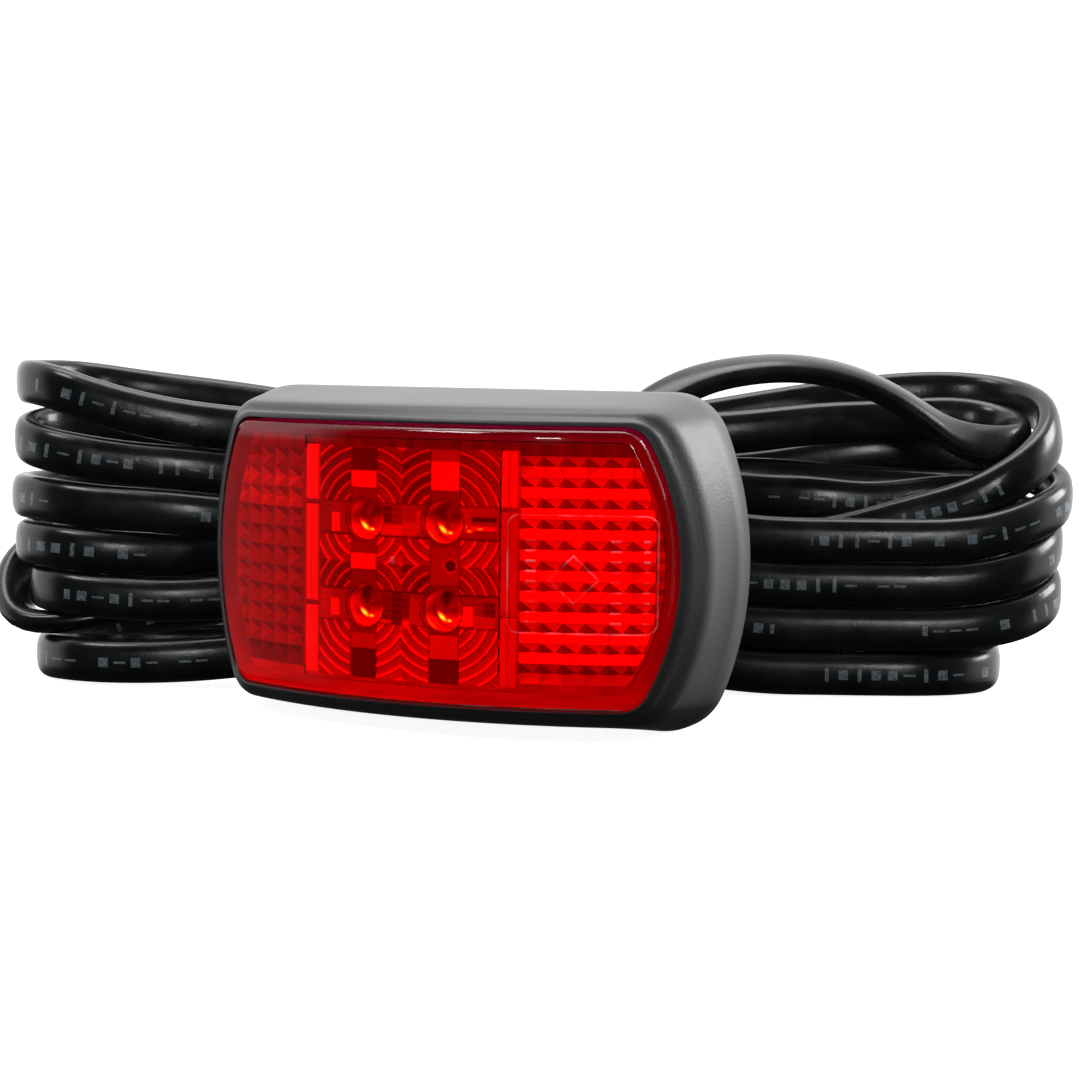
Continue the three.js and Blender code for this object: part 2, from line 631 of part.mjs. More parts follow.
addPart('cord_grommet', grommet(), BLACK_RUBBER());
addPart('cord_lead', cordLead(), BLACK_PLASTIC());
addPart('cord_hank', cordHank(), BLACK_PLASTIC());
addPart('hank_tie', hankTie(), BLACK_PLASTIC());
for (const [name, side] of [['core_red', -1], ['core_black', 1]]) {
  addPart(name, coreTail(side), side < 0 ? material(0xa01010, 0.5) : BLACK_PLASTIC());
  addPart(`${name}_tip`, coreTip(side), TINNED());
}

export default lamp;
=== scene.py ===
# A trailer's LED tail light with its flat lead wound into a tied hank behind it.
# Metres in the scene, millimetres in the shape code; +Z up, the lens faces -Y.
import math

import bmesh
import bpy
import numpy as np
from mathutils import Matrix, Vector


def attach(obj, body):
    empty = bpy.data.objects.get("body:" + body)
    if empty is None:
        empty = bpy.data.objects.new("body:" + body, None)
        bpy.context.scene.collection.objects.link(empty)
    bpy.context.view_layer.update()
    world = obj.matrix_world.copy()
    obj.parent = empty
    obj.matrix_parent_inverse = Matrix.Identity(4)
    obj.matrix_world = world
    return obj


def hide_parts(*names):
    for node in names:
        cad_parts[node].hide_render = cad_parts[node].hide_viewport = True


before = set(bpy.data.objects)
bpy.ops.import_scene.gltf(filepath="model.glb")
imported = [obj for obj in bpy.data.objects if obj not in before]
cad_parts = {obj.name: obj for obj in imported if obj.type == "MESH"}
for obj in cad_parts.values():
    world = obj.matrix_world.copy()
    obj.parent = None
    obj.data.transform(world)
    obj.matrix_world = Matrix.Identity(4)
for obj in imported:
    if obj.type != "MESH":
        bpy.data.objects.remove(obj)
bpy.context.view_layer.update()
MM = 0.001
rng = np.random.default_rng(7)

# ---------------------------------------------------------------- the lamp's driving sizes, mm
HEIGHT = 43.0
MID_Z = HEIGHT / 2
FRONT_Y = -11.5
LENS_R = 64.1
BOW_Y = FRONT_Y + LENS_R
EDGE_R = LENS_R - 1.6
WINDOW_R = LENS_R - 0.9
INNER_R = LENS_R - 2.0
COVER_BACK_Y = 11.0
RIM_Y = 8.0
LENS_FOOT_Y = 7.2
OPTIC_X = -1.65
LED_PITCH = 11.0
LED_SPOTS = [(OPTIC_X + i * LED_PITCH / 2, MID_Z - 0.3 + k * LED_PITCH / 2)
             for i, k in ((-1, 1), (1, 1), (-1, -1), (1, -1))]
BOARD_Y = -1.0
LED_R = 2.45
OPTIC_GAP = 0.25                         # from the lens's inner face to the optics
OPTIC_LOW, OPTIC_HIGH = 6.6, 35.8        # height of the ring optic and the light bars
FLANGE_LOW, FLANGE_HIGH = 6.1, 36.9      # height of the flanges round the optics

CORD_W, CORD_T = 6.2, 3.4
STRAND_GAP, FLOOR_GAP = 0.12, 0.1        # left between strands, and under the cord
PRINT_CELL, PRINT_GROUP, PRINT_START = 2.3, 61.0, 118.0     # one mark, a row of them, the first, along the cord
TURN = math.radians(24.0)                # the hank stands askew behind the lamp
ALONG = np.array([math.cos(TURN), math.sin(TURN), 0.0])
AWAY = np.array([-math.sin(TURN), math.cos(TURN), 0.0])


# ---------------------------------------------------------------- camera
def add_camera():
    yaw, pitch, roll = math.radians(23.948), math.radians(4.765), math.radians(0.785)
    target, distance = Vector((13.24, 0.0, 24.34)), 288.45
    back = Vector((math.sin(yaw) * math.cos(pitch), -math.cos(yaw) * math.cos(pitch), math.sin(pitch)))
    right = (-back).cross(Vector((0, 0, 1))).normalized()
    up = right.cross(-back)
    x = right * math.cos(roll) + up * math.sin(roll)
    y = up * math.cos(roll) - right * math.sin(roll)
    at = (target + back * distance) * MM
    data = bpy.data.cameras.new("camera")
    data.sensor_width, data.lens = 36.0, 76.63
    data.clip_start, data.clip_end = 0.01, 20.0
    camera = bpy.data.objects.new("camera", data)
    camera.matrix_world = Matrix(((x.x, y.x, back.x, at.x), (x.y, y.y, back.y, at.y),
                                  (x.z, y.z, back.z, at.z), (0, 0, 0, 1)))
    bpy.context.scene.collection.objects.link(camera)
    bpy.context.scene.camera = camera


add_camera()


# ---------------------------------------------------------------- mesh helpers
def add_mesh(name, points, faces, materials=(), smooth=True, face_material=None):
    """points in mm. Returns the object, which sits at the origin."""
    mesh = bpy.data.meshes.new(name)
    mesh.from_pydata((np.asarray(points, float) * MM).tolist(), [], [list(f) for f in faces])
    mesh.update()
    for material in materials:
        mesh.materials.append(material)
    mesh.polygons.foreach_set("use_smooth", [smooth] * len(mesh.polygons))
    if face_material is not None:
        mesh.polygons.foreach_set("material_index", np.asarray(face_material, np.int32))
    mesh.update()
    piece = bpy.data.objects.new(name, mesh)
    bpy.context.scene.collection.objects.link(piece)
    return piece


def add_attribute(piece, name, values, domain="POINT"):
    layer = piece.data.attributes.new(name, "FLOAT", domain)
    layer.data.foreach_set("value", np.asarray(values, np.float32))


def strip_faces(rings, count, wrap=False):
    """Quads between rings of count points each."""
    faces = []
    for k in range(rings if wrap else rings - 1):
        a, b = k * count, ((k + 1) % rings) * count
        for i in range(count):
            j = (i + 1) % count
            faces.append((a + i, a + j, b + j, b + i))
    return faces


def cap_faces(rings, count):
    """The two end faces of a tube of rings."""
    return [tuple(range(count - 1, -1, -1)), tuple((rings - 1) * count + i for i in range(count))]


def quad(a, across):
    """The face whose first corner is point a in a grid with the given number of points across."""
    return a, a + 1, a + across + 1, a + across


def facing_out(piece):
    """Turns every face outwards on a closed piece."""
    bm = bmesh.new()
    bm.from_mesh(piece.data)
    bmesh.ops.recalc_face_normals(bm, faces=bm.faces)
    bm.to_mesh(piece.data)
    bm.free()
    return piece


# ---------------------------------------------------------------- the cord's route
# Key points of the lead: along the hank, away from the lamp, height, twist in degrees.
keys = []


def run(*points):
    """Adds key points, each with or without a twist."""
    keys.extend((*p, 0.0)[:4] for p in points)


def bend(u, near, far, z0, z1, side, reach, steps=(0.18, 0.5, 0.82)):
    """A turn at the hank's end: rear to front on the left (side -1), front to rear on the right (side 1)."""
    for s in steps:
        c = math.cos(math.pi * s)
        run((u + side * abs(reach - u) * math.sin(math.pi * s),
             (far + near) / 2 - side * (far - near) / 2 * c,
             z0 + (z1 - z0) * (0.5 - 0.5 * c)))


WAIST = 8.0                              # the tie, where the strands bunch
FRONT = 28.7                             # middle of the strands that lie on the hank's front
W1, W2, W3, W4, W5 = 34.8, 38.4, 42.0, 45.6, 49.2    # layers in the waist, front to rear


def lay_out_cord():
    for x, y, *rest in ((10, 15.5, 21.5), (10, 19.5, 21.6), (10.8, 24, 23.2, -5)):
        run((ALONG[0] * x + ALONG[1] * y, AWAY[0] * x + AWAY[1] * y, *rest))
    run((21.5, 24.8, 34.0, -35), (27.0, 26.2, 40.6, -55), (33.5, 28.2, 44.3, -68), (40.4, 30.5, 45.7, -72),
        (48, 32.8, 46.2, -72), (55.5, 35.0, 45.0, -71), (61.5, 36.4, 42.7, -70), (66.4, 37.2, 39.7, -68),
        (69.6, 37.4, 37.0, -60), (72.6, 37.2, 35.4, -44), (76.2, 37.2, 34.8, -24), (80.4, 38.9, 34.7, -8),
        (83.3, 43.4, 35.8), (82.4, 48.6, 37.2), (78.0, 52.0, 38.2), (71, 52.5, 38.5), (64, 51.6, 38.1),
        (54, 49.6, 37.8), (40, 47.0, 36.2), (22, 45.8, 35.6), (WAIST, W4, 35.5), (-14, 48, 37), (-32, 51, 39.5),
        (-48, 53, 41.2), (-56, 52, 42.4))
    bend(-51, 28.9, 53, 42.6, 42.4, -1, -63.0)
    run((-50, FRONT + 0.8, 39.8), (-32, FRONT, 36.4), (WAIST, W1, 35.1), (26, 32.6, 30), (41, 35.2, 25.7),
        (59, 36.4, 25.9), (68, 36.6, 27.8))
    bend(69.0, 36.0, 54.4, 28.2, 27.8, 1, 78.2)
    run((61, 52.8, 27.9), (40, 48.2, 29.0), (WAIST, W4, 29.1), (-14, 45.0, 33.2), (-22, 45.6, 34.3),
        (-31, 46.5, 34.8), (-46, 47.2, 36.0))
    bend(-53.8, 29.0, 47, 36.4, 33.2, -1, -62.8)
    run((-49.6, FRONT + 0.8, 31.9), (-33, FRONT, 30.2), (WAIST, W1, 28.7), (26, 30.0, 25.0), (41, FRONT, 22.1),
        (56, FRONT, 21.7), (68, FRONT + 0.3, 21.8), (77, 29.8, 22.6))
    bend(74, 28.9, 54.4, 24.4, 33.0, 1, 88.5, steps=(0.3, 0.52, 0.8))
    run((66, 54.7, 32.4), (40, 52, 30), (WAIST, W5, 28.7), (-14, 51, 28), (-32, 54, 27.2), (-48, 54.4, 26.6))
    bend(-49, 28.9, 54.3, 26.4, 26.0, -1, -64.0)
    run((-49.6, FRONT + 0.8, 25.0), (-33, FRONT, 23.4), (WAIST, W1, 22.3), (26, 30.0, 18.5), (41, FRONT, 15.8),
        (56, FRONT, 15.5), (70, FRONT + 0.3, 15.7), (79, 29.9, 17.0))
    bend(74, 28.9, 54.5, 18.0, 26.2, 1, 87.2, steps=(0.3, 0.52, 0.8))
    run((64, 54.4, 25.4), (40, 49.4, 23.8), (WAIST, W3, 22.3), (-14, 45.5, 17.5), (-32, 47.5, 14.0),
        (-46, 48.5, 13.4))
    bend(-51, 28.9, 48.5, 13.4, 13.2, -1, -61.0)
    run((-49.6, FRONT + 0.8, 12.6), (-33, FRONT, 12.7), (WAIST, W1, 15.9), (26, 30.0, 12.2), (41, FRONT, 9.7),
        (56, FRONT, 9.5), (70, FRONT + 0.3, 9.6), (79, 29.9, 11.2))
    bend(74, 28.9, 51, 12.4, 17.8, 1, 87.0, steps=(0.32, 0.52, 0.8))
    run((64, 50.5, 17.8), (40, 48, 15), (WAIST, W3, 12), (-14, 46.5, 7.5), (-32, 49.5, 3.6), (-46, 51, 3.4))
    bend(-49, 28.9, 51.0, 3.6, 3.6, -1, -60.1)
    run((-48, FRONT + 0.6, 3.4), (-32.5, FRONT, 4.2), (WAIST, W1, 9.5), (26, 30.0, 6.0), (40, FRONT, 4.2),
        (49, FRONT, 3.4), (62, FRONT, 3.3), (69, 29.2, 3.4))
    bend(66.5, 28.9, 54, 3.6, 4.6, 1, 78.6, steps=(0.3, 0.52, 0.8))
    run((56, 54, 5.2), (40, 52.5, 7.5), (WAIST, W5, 13), (-14, 51.5, 16.5), (-32, 54.2, 19.2),
        (-48, 55.2, 19.6), (-57, 53.2, 19.2), (-63.0, 48.6, 17.6, 18), (-65.2, 42.8, 14.1, 42),
        (-64.0, 38.0, 10.6, 62), (-59.6, 34.6, 8.6, 84), (-52.5, 33.6, 8.4, 70), (-44, 34, 9.6, 30),
        (-32, 34, 11.8), (WAIST, W2, 16), (26, 34.5, 11), (45, 32.4, 7.0), (63, 32.4, 6.6), (69, 33.2, 7.6))
    bend(70.5, 32.6, 51.2, 8.8, 10.5, 1, 80.0)
    run((57, 51, 10.8), (40, 48.8, 13), (WAIST, W4, 16), (-14, 48, 18), (-32, 50.5, 19.2), (-48, 51, 19.6))
    bend(-50.5, 28.9, 51, 19.6, 19.5, -1, -63.2)
    run((-49.6, FRONT + 0.8, 19.0), (-35, 30.2, 20.2), (-20, 34.5, 23), (WAIST, W2, 26), (30, 36, 24.5),
        (46, 35.4, 23.4), (57.4, 34.6, 24.0), (63, 33.8, 24.9), (69, 33.2, 26.2), (75, 32.6, 28.0),
        (79.4, 32.6, 30.4), (83.2, 34.4, 33.4, -8), (86.1, 39.5, 37.0, -12), (86.0, 47, 40.2, -12),
        (81.6, 54, 42.0, -8), (73.6, 56.2, 42.7), (65.0, 56.2, 42.2), (57, 55.6, 41.2), (48, 54.4, 39.8),
        (39, 53.0, 38.2), (24, 50.4, 35.8), (WAIST, W5, 35.0), (-6, 51.5, 35.6), (-15, 56, 36.9),
        (-24, 59.4, 37.8))


def between(a, b, t0, t1, s):
    """The point at s on the line that is at a when s is t0, and at b when s is t1."""
    return ((t1 - s) * a + (s - t0) * b) / (t1 - t0)


def spline(points, step):
    """A centripetal Catmull-Rom curve through the points, cut into even steps."""
    points = np.vstack([2 * points[0] - points[1], points, 2 * points[-1] - points[-2]])
    out = []
    for i in range(1, len(points) - 2):
        p = points[i - 1:i + 3]
        gap = [max(np.linalg.norm((b - a)[:3]), 1e-6) ** 0.5 for a, b in zip(p[:-1], p[1:])]
        t = np.cumsum([0.0, *gap])
        s = np.linspace(t[1], t[2], 24, endpoint=False)[:, None]
        a = [between(p[k], p[k + 1], t[k], t[k + 1], s) for k in range(3)]
        b = [between(a[k], a[k + 1], t[k], t[k + 2], s) for k in range(2)]
        out.append(between(b[0], b[1], t[1], t[2], s))
    out = np.vstack([*out, points[-2:-1]])
    along = np.r_[0, np.cumsum(np.linalg.norm(np.diff(out[:, :3], axis=0), axis=1))]
    even = np.linspace(0, along[-1], int(round(along[-1] / step)) + 1)
    return np.array([np.interp(even, along, out[:, i]) for i in range(out.shape[1])]).T


def sections(route):
    """Tangent, wide and thin directions at each point of a route."""
    x = route[:, :3]
    tangent = np.gradient(x, axis=0)
    tangent /= np.linalg.norm(tangent, axis=1)[:, None]
    wide = np.array([0, 0, 1.0]) - tangent * tangent[:, 2:3]
    wide /= np.linalg.norm(wide, axis=1)[:, None]
    thin = np.cross(tangent, wide)
    a = np.radians(route[:, 3])[:, None]
    return tangent, wide * np.cos(a) + thin * np.sin(a), thin * np.cos(a) - wide * np.sin(a)


def settle(route, rounds=110, held=10, apart=14.0):
    """Pushes strands that press into each other apart and keeps the cord above the surface it lies on."""
    x, home = route[:, :3].copy(), route[:, :3].copy()
    n = len(x)
    number = np.arange(n)
    skip = int(apart / np.linalg.norm(x[1] - x[0]))
    for _ in range(rounds):
        tangent, wide, thin = sections(np.c_[x, route[:, 3]])
        push, count = np.zeros_like(x), np.zeros(n)
        for lo in range(0, n, 256):
            gap = x[lo:lo + 256, None, :] - x[None, :, :]
            near = (gap ** 2).sum(-1) < 7.2 ** 2
            near &= np.abs(number[lo:lo + 256, None] - number[None, :]) > skip
            i, j = np.nonzero(near)
            if not len(i):
                continue
            d = gap[i, j]
            i = i + lo
            length = np.linalg.norm(d, axis=1) + 1e-9
            unit = d / length[:, None]
            need = np.zeros(len(i))
            for k in (i, j):
                a = np.abs((unit * wide[k]).sum(1)) / (CORD_W / 2)
                b = np.abs((unit * thin[k]).sum(1)) / (CORD_T / 2)
                need += (a ** 4 + b ** 4) ** -0.25
            over = need + STRAND_GAP - length
            hit = (over > 0) & (np.abs((d * tangent[i]).sum(1)) < 2.5)
            np.add.at(push, i[hit], unit[hit] * over[hit][:, None] * 0.5)
            np.add.at(count, i[hit], 1)
        push /= np.maximum(count, 1)[:, None]
        push[:held] = 0
        push *= 0.9
        for _ in range(2):
            push[1:-1] = 0.25 * push[:-2] + 0.5 * push[1:-1] + 0.25 * push[2:]
        x += push
        eased = x.copy()
        eased[1:-1] = 0.25 * x[:-2] + 0.5 * x[1:-1] + 0.25 * x[2:]
        x[held:-2] += 0.10 * (eased - x)[held:-2]
        x[held:] += 0.01 * (home - x)[held:]
        low = CORD_W / 2 * np.abs(wide[:, 2]) + CORD_T / 2 * np.abs(thin[:, 2]) + FLOOR_GAP
        x[:, 2] = np.maximum(x[:, 2], low)
    return np.c_[x, route[:, 3]]


def to_lamp(route):
    """From along, away, height to x, y, z."""
    return route[:, 0:1] * ALONG + route[:, 1:2] * AWAY + route[:, 2:3] * np.array([0, 0, 1.0])


def cord_profile(count=24, power=2.7):
    """Points round the flat cord's section, as shares of its half width and half thickness."""
    a = np.arange(count) * 2 * math.pi / count
    c, s = np.cos(a), np.sin(a)
    return np.c_[np.sign(c) * np.abs(c) ** (2 / power), np.sign(s) * np.abs(s) ** (2 / power)]


lay_out_cord()
coarse = settle(spline(np.array(keys), 2.4))
route = spline(coarse, 1.4)


def build_cord():
    tangent, wide, thin = sections(route)
    centre = to_lamp(route)
    turn = np.array([ALONG, AWAY, [0, 0, 1.0]])
    wide, thin, tangent = wide @ turn, thin @ turn, tangent @ turn
    profile = cord_profile()
    count = len(profile)
    sets, along = [], []
    step = np.r_[0, np.cumsum(np.linalg.norm(np.diff(centre, axis=0), axis=1))]

    def ring(k, scale, shift):
        return (centre[k] + tangent[k] * shift
                + profile[:, :1] * wide[k] * CORD_W / 2 * scale
                + profile[:, 1:] * thin[k] * CORD_T / 2 * scale)

    last = len(centre) - 1
    plan = [(0, 0.75, 0.0), (0, 0.93, 0.1), (0, 1.0, 0.45)]
    plan += [(k, 1.0, 0.0) for k in range(1, last)]
    plan += [(last, 1.0, -0.3), (last, 0.97, -0.05), (last, 0.88, 0.0), (last, 0.3, 0.0)]
    for k, scale, shift in plan:
        sets.append(ring(k, scale, shift))
        along.append(step[k] + shift)
    points = np.vstack(sets)
    piece = add_mesh("lead_cord", points, strip_faces(len(sets), count) + cap_faces(len(sets), count))
    add_attribute(piece, "along", np.repeat(along, count))
    add_attribute(piece, "across", np.tile(profile[:, 0] * CORD_W / 2, len(sets)))
    add_attribute(piece, "side", np.tile(profile[:, 1], len(sets)))
    return facing_out(piece), centre, float(step[-1])


cord, cord_line, cord_length = build_cord()
print("cord length mm", round(cord_length, 1))


# ---------------------------------------------------------------- material helpers
class Nodes:
    """Builds the nodes of a new material, or of the world that is given, with short calls."""

    def __init__(self, name="", world=None):
        self.owner = world or bpy.data.materials.new(name)
        self.owner.use_nodes = True
        self.tree = self.owner.node_tree
        self.tree.nodes.clear()

    def add(self, kind, inputs=None, **settings):
        node = self.tree.nodes.new("ShaderNode" + kind)
        for name, value in settings.items():
            setattr(node, name, value)
        for name, value in (inputs or {}).items():
            if isinstance(value, bpy.types.NodeSocket):
                self.tree.links.new(value, node.inputs[name])
            else:
                node.inputs[name].default_value = value
        return node

    def math(self, operation, a, b=0.0, c=0.0):
        return self.add("Math", {0: a, 1: b, 2: c}, operation=operation).outputs[0]

    def every(self, operation, first, *others):
        """One operation over any number of values."""
        for other in others:
            first = self.math(operation, first, other)
        return first

    def where(self):
        return self.add("TexCoord").outputs["Object"]

    def place(self, axis):
        """The object coordinate along one axis, in mm."""
        return self.math("MULTIPLY", self.add("SeparateXYZ", {0: self.where()}).outputs[axis], 1000.0)

    def away(self, value, centre):
        """How far a value is from a centre."""
        return self.math("ABSOLUTE", self.math("SUBTRACT", value, centre))

    def near(self, value, centre, half):
        """1 within half of a centre, else 0."""
        return self.math("LESS_THAN", self.away(value, centre), half)

    def value(self, attribute):
        return self.add("Attribute", attribute_name=attribute).outputs["Fac"]

    def noise(self, scale, detail=2.0, roughness=0.5):
        return self.add("TexNoise", {"Vector": self.where(), "Scale": scale, "Detail": detail,
                                     "Roughness": roughness}).outputs["Fac"]

    def spread(self, value, low, high, out_low, out_high, curve="LINEAR"):
        """Maps low..high to out_low..out_high, held at both ends."""
        return self.add("MapRange", {"Value": value, "From Min": low, "From Max": high, "To Min": out_low,
                                     "To Max": out_high}, interpolation_type=curve).outputs[0]

    def colours(self, value, *stops):
        node = self.add("ValToRGB", {"Fac": value})
        ramp = node.color_ramp
        while len(ramp.elements) < len(stops):
            ramp.elements.new(0.5)
        for element, (place, colour) in zip(ramp.elements, stops):
            element.position = place
            element.color = (*colour, 1.0)
        return node.outputs["Color"]

    def mix(self, value, a, b):
        node = self.add("Mix", data_type="RGBA")
        for socket, v in ((node.inputs[0], value), (node.inputs[6], a), (node.inputs[7], b)):
            if isinstance(v, bpy.types.NodeSocket):
                self.tree.links.new(v, socket)
            else:
                socket.default_value = (*v, 1.0) if isinstance(v, tuple) else v
        return node.outputs[2]

    def mottled(self, value, a, b):
        """Colour a in a noise's valleys and b on its hills."""
        return self.mix(self.spread(value, 0.3, 0.7, 0.0, 1.0), a, b)

    def bump(self, height, distance):
        return self.add("Bump", {"Height": height, "Distance": distance, "Strength": 1.0}).outputs[0]

    def finish(self, shader, output="OutputMaterial"):
        self.add(output, {"Surface": shader.outputs[0]})
        return self.owner


def moulded(name, dark, light, rough, grain=0.00002):
    """Moulded plastic or rubber: faint mottling, a fine grain and worn smoother patches."""
    n = Nodes(name)
    mottle, fine = n.noise(90.0, 3.0), n.noise(2600.0, 2.0, 0.6)
    wear = n.math("MULTIPLY_ADD", fine, 0.5, mottle)
    return n.finish(n.add("BsdfPrincipled", {
        "Base Color": n.mottled(mottle, dark, light),
        "Roughness": n.spread(wear, 0.4, 1.1, rough - 0.06, rough + 0.06),
        "IOR": 1.5, "Normal": n.bump(fine, grain),
    }))


def metal(name, colour, rough):
    """Plated metal with fine turning marks and dull patches."""
    n = Nodes(name)
    patch = n.noise(400.0, 3.0)
    fine = n.noise(5000.0, 2.0)
    dull = tuple(c * 0.6 for c in colour)
    return n.finish(n.add("BsdfPrincipled", {
        "Base Color": n.mix(n.spread(patch, 0.35, 0.7, 0.0, 1.0), dull, colour),
        "Metallic": 1.0,
        "Roughness": n.spread(patch, 0.3, 0.7, rough - 0.08, rough + 0.12),
        "Normal": n.bump(fine, 0.00001),
    }))


def cord_sheath():
    """Near-black PVC with a soft sheen, and a printed row of plain blocks, bars and dashes on one wide face."""
    n = Nodes("cord_sheath")
    along, across, side = n.value("along"), n.value("across"), n.value("side")
    blotch, fine = n.noise(220.0, 2.0), n.noise(2500.0, 3.0)
    cells = n.math("DIVIDE", along, PRINT_CELL)
    pick = n.add("TexWhiteNoise", {"W": n.math("FLOOR", cells)}, noise_dimensions="1D").outputs["Value"]
    off = n.away(n.math("FRACT", cells), 0.5)
    group = n.math("FRACT", n.math("DIVIDE", along, PRINT_GROUP))
    shown = n.every("MULTIPLY", n.math("LESS_THAN", group, 0.66), n.math("GREATER_THAN", pick, 0.16),
                    n.math("GREATER_THAN", along, PRINT_START), n.math("GREATER_THAN", side, 0.2))

    def box(half_share, half_width):
        return n.math("MULTIPLY", n.math("LESS_THAN", off, half_share),
                      n.math("LESS_THAN", n.math("ABSOLUTE", across), half_width))

    # dash, block or bar by chance, each in the middle of its own cell
    is_dash, is_bar = n.math("LESS_THAN", pick, 0.42), n.math("GREATER_THAN", pick, 0.74)
    is_block = n.math("SUBTRACT", 1.0, n.math("ADD", is_dash, is_bar))
    mark = n.every("ADD", *(n.math("MULTIPLY", kind, shape) for kind, shape in (
        (is_dash, box(0.36, 0.16)), (is_bar, box(0.12, 0.95)), (is_block, box(0.29, 0.68)))))
    mark = n.every("MULTIPLY", mark, shown, n.spread(n.noise(1800.0, 2.0), 0.3, 0.6, 0.35, 1.0))
    base = n.mottled(blotch, (0.0055, 0.0062, 0.0062), (0.0100, 0.0110, 0.0112))
    base = n.mix(mark, base, (0.15, 0.19, 0.215))
    rough = n.spread(blotch, 0.3, 0.75, 0.18, 0.28)
    height = n.math("MULTIPLY_ADD", fine, 0.5, n.math("MULTIPLY", blotch, 1.3))
    return n.finish(n.add("BsdfPrincipled", {
        "Base Color": base, "Roughness": rough, "IOR": 1.42, "Normal": n.bump(height, 0.00003),
    }))


cord.data.materials.append(cord_sheath())
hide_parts("cord_lead", "cord_hank")
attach(cord, "lamp")


# ---------------------------------------------------------------- lofted shells
def barrel(o, fine=1):
    """A barrel outline with straight top and bottom and bulging ends: its points as x, z rows."""
    w, h, sag, r = o
    end_r = (h * h + sag * sag) / (2 * sag)
    end_x = w - end_r
    corner_z = h - r
    corner_x = end_x + math.sqrt((end_r - r) ** 2 - corner_z ** 2)
    turn = math.atan2(corner_z, corner_x - end_x)
    ends, corners, sides = 14 * fine, 12 * fine, 22 * fine
    quarter = [(end_x + end_r * math.cos(turn * i / ends), end_r * math.sin(turn * i / ends))
               for i in range(ends + 1)]
    for i in range(1, corners + 1):
        a = turn + (math.pi / 2 - turn) * i / corners
        quarter.append((corner_x + r * math.cos(a), corner_z + r * math.sin(a)))
    quarter += [(corner_x * (1 - i / sides), h) for i in range(1, sides + 1)]
    upper = quarter + [(-x, z) for x, z in reversed(quarter[:-1])]
    lower = [(x, -z) for x, z in reversed(upper[1:-1])]
    return np.array(upper + lower)


def blend(a, b, t):
    return tuple(p + (q - p) * t for p, q in zip(a, b))


def inset(o, d):
    return (o[0] - d, o[1] - d, o[2], max(o[3] - d, 1.0))


def bow(radius, x):
    return BOW_Y - np.sqrt(radius * radius - np.asarray(x) ** 2)


def ring(outline, y, scale=1.0):
    p = barrel(outline) * scale
    depth = y(p[:, 0]) if callable(y) else np.full(len(p), float(y))
    return np.c_[p[:, 0], depth, MID_Z + p[:, 1]]


def rounded(plan, steps=5, wrap=False):
    """Rounds the edge at each (ring, radius) over that distance along the skin. Radius 0 leaves a ring alone."""
    out = []
    n = len(plan)
    for k, (here, radius) in enumerate(plan):
        if radius <= 0 or (not wrap and k in (0, n - 1)):
            out.append(here)
            continue
        a, b = plan[k - 1][0] - here, plan[(k + 1) % n][0] - here
        la = np.linalg.norm(a, axis=1)[:, None] + 1e-9
        lb = np.linalg.norm(b, axis=1)[:, None] + 1e-9
        p = here + a * np.minimum(radius / la, 0.49)
        q = here + b * np.minimum(radius / lb, 0.49)
        for i in range(steps + 1):
            t = i / steps
            out.append(p * (1 - t) ** 2 + here * 2 * t * (1 - t) + q * t * t)
    return out


COVER_BACK = (37.4, 21.5, 5.6, 7.5)
COVER_FRONT = (35.9, 19.8, 5.3, 5.6)
WINDOW = (32.55, 17.4, 4.4, 3.4)
LENS_FACE = inset(WINDOW, 0.3)
COVER_INSIDE = (35.6, 19.7, 5.3, 6.0)
TUB = (35.2, 19.3, 5.2, 5.7)
WELL = inset(LENS_FACE, 1.6)


def build_cover(material):
    def edge(x):
        return bow(EDGE_R, x)

    def window(x):
        return bow(WINDOW_R, x)

    plan = [
        (ring(COVER_BACK, COVER_BACK_Y), 0.35),
        (ring(COVER_BACK, RIM_Y), 1.2),
        (ring(blend(COVER_BACK, COVER_FRONT, 0.55), lambda x: RIM_Y * 0.45 + (edge(x) + 2.6) * 0.55), 3.5),
        (ring(COVER_FRONT, lambda x: edge(x) + 2.6), 1.6),
        (ring(inset(COVER_FRONT, 0.5), lambda x: edge(x) + 1.1), 1.6),
        (ring(inset(COVER_FRONT, 1.5), lambda x: edge(x) + 0.25), 1.6),
        (ring(blend(COVER_FRONT, WINDOW, 0.7), lambda x: edge(x) * 0.35 + window(x) * 0.65), 1.2),
        (ring(WINDOW, window), 0.3),
        (ring(WINDOW, lambda x: window(x) + 1.5), 0.1),
        (ring(inset(COVER_FRONT, 2.2), lambda x: edge(x) + 2.2), 0.3),
        (ring(inset(COVER_FRONT, 1.8), lambda x: edge(x) + 3.6), 0.3),
        (ring(COVER_INSIDE, LENS_FOOT_Y - 1.9), 0.3),
        (ring(COVER_INSIDE, COVER_BACK_Y), 0.25),
    ]
    rings = rounded(plan, wrap=True)
    count = len(rings[0])
    piece = add_mesh("cover_shell", np.vstack(rings), strip_faces(len(rings), count, wrap=True), [material])
    return facing_out(piece)


# ---------------------------------------------------------------- floor, world and lamps
def add_floor():
    n = Nodes("floor_white")
    shade = n.noise(6.0, 2.0)
    base = n.mix(shade, (0.56, 0.56, 0.56), (0.60, 0.60, 0.60))
    diffuse = n.add("BsdfDiffuse", {"Color": base, "Roughness": 0.5})
    glow = n.add("Emission", {"Color": (1, 1, 1, 1), "Strength": 0.88})
    both = n.add("AddShader", {0: diffuse.outputs[0], 1: glow.outputs[0]})
    floor = add_mesh("floor", [(-3000, -3000, -0.05), (3000, -3000, -0.05), (3000, 3000, -0.05),
                               (-3000, 3000, -0.05)], [(0, 1, 2, 3)], [n.finish(both)])
    floor.visible_glossy = False
    floor.visible_diffuse = False
    floor.visible_shadow = False


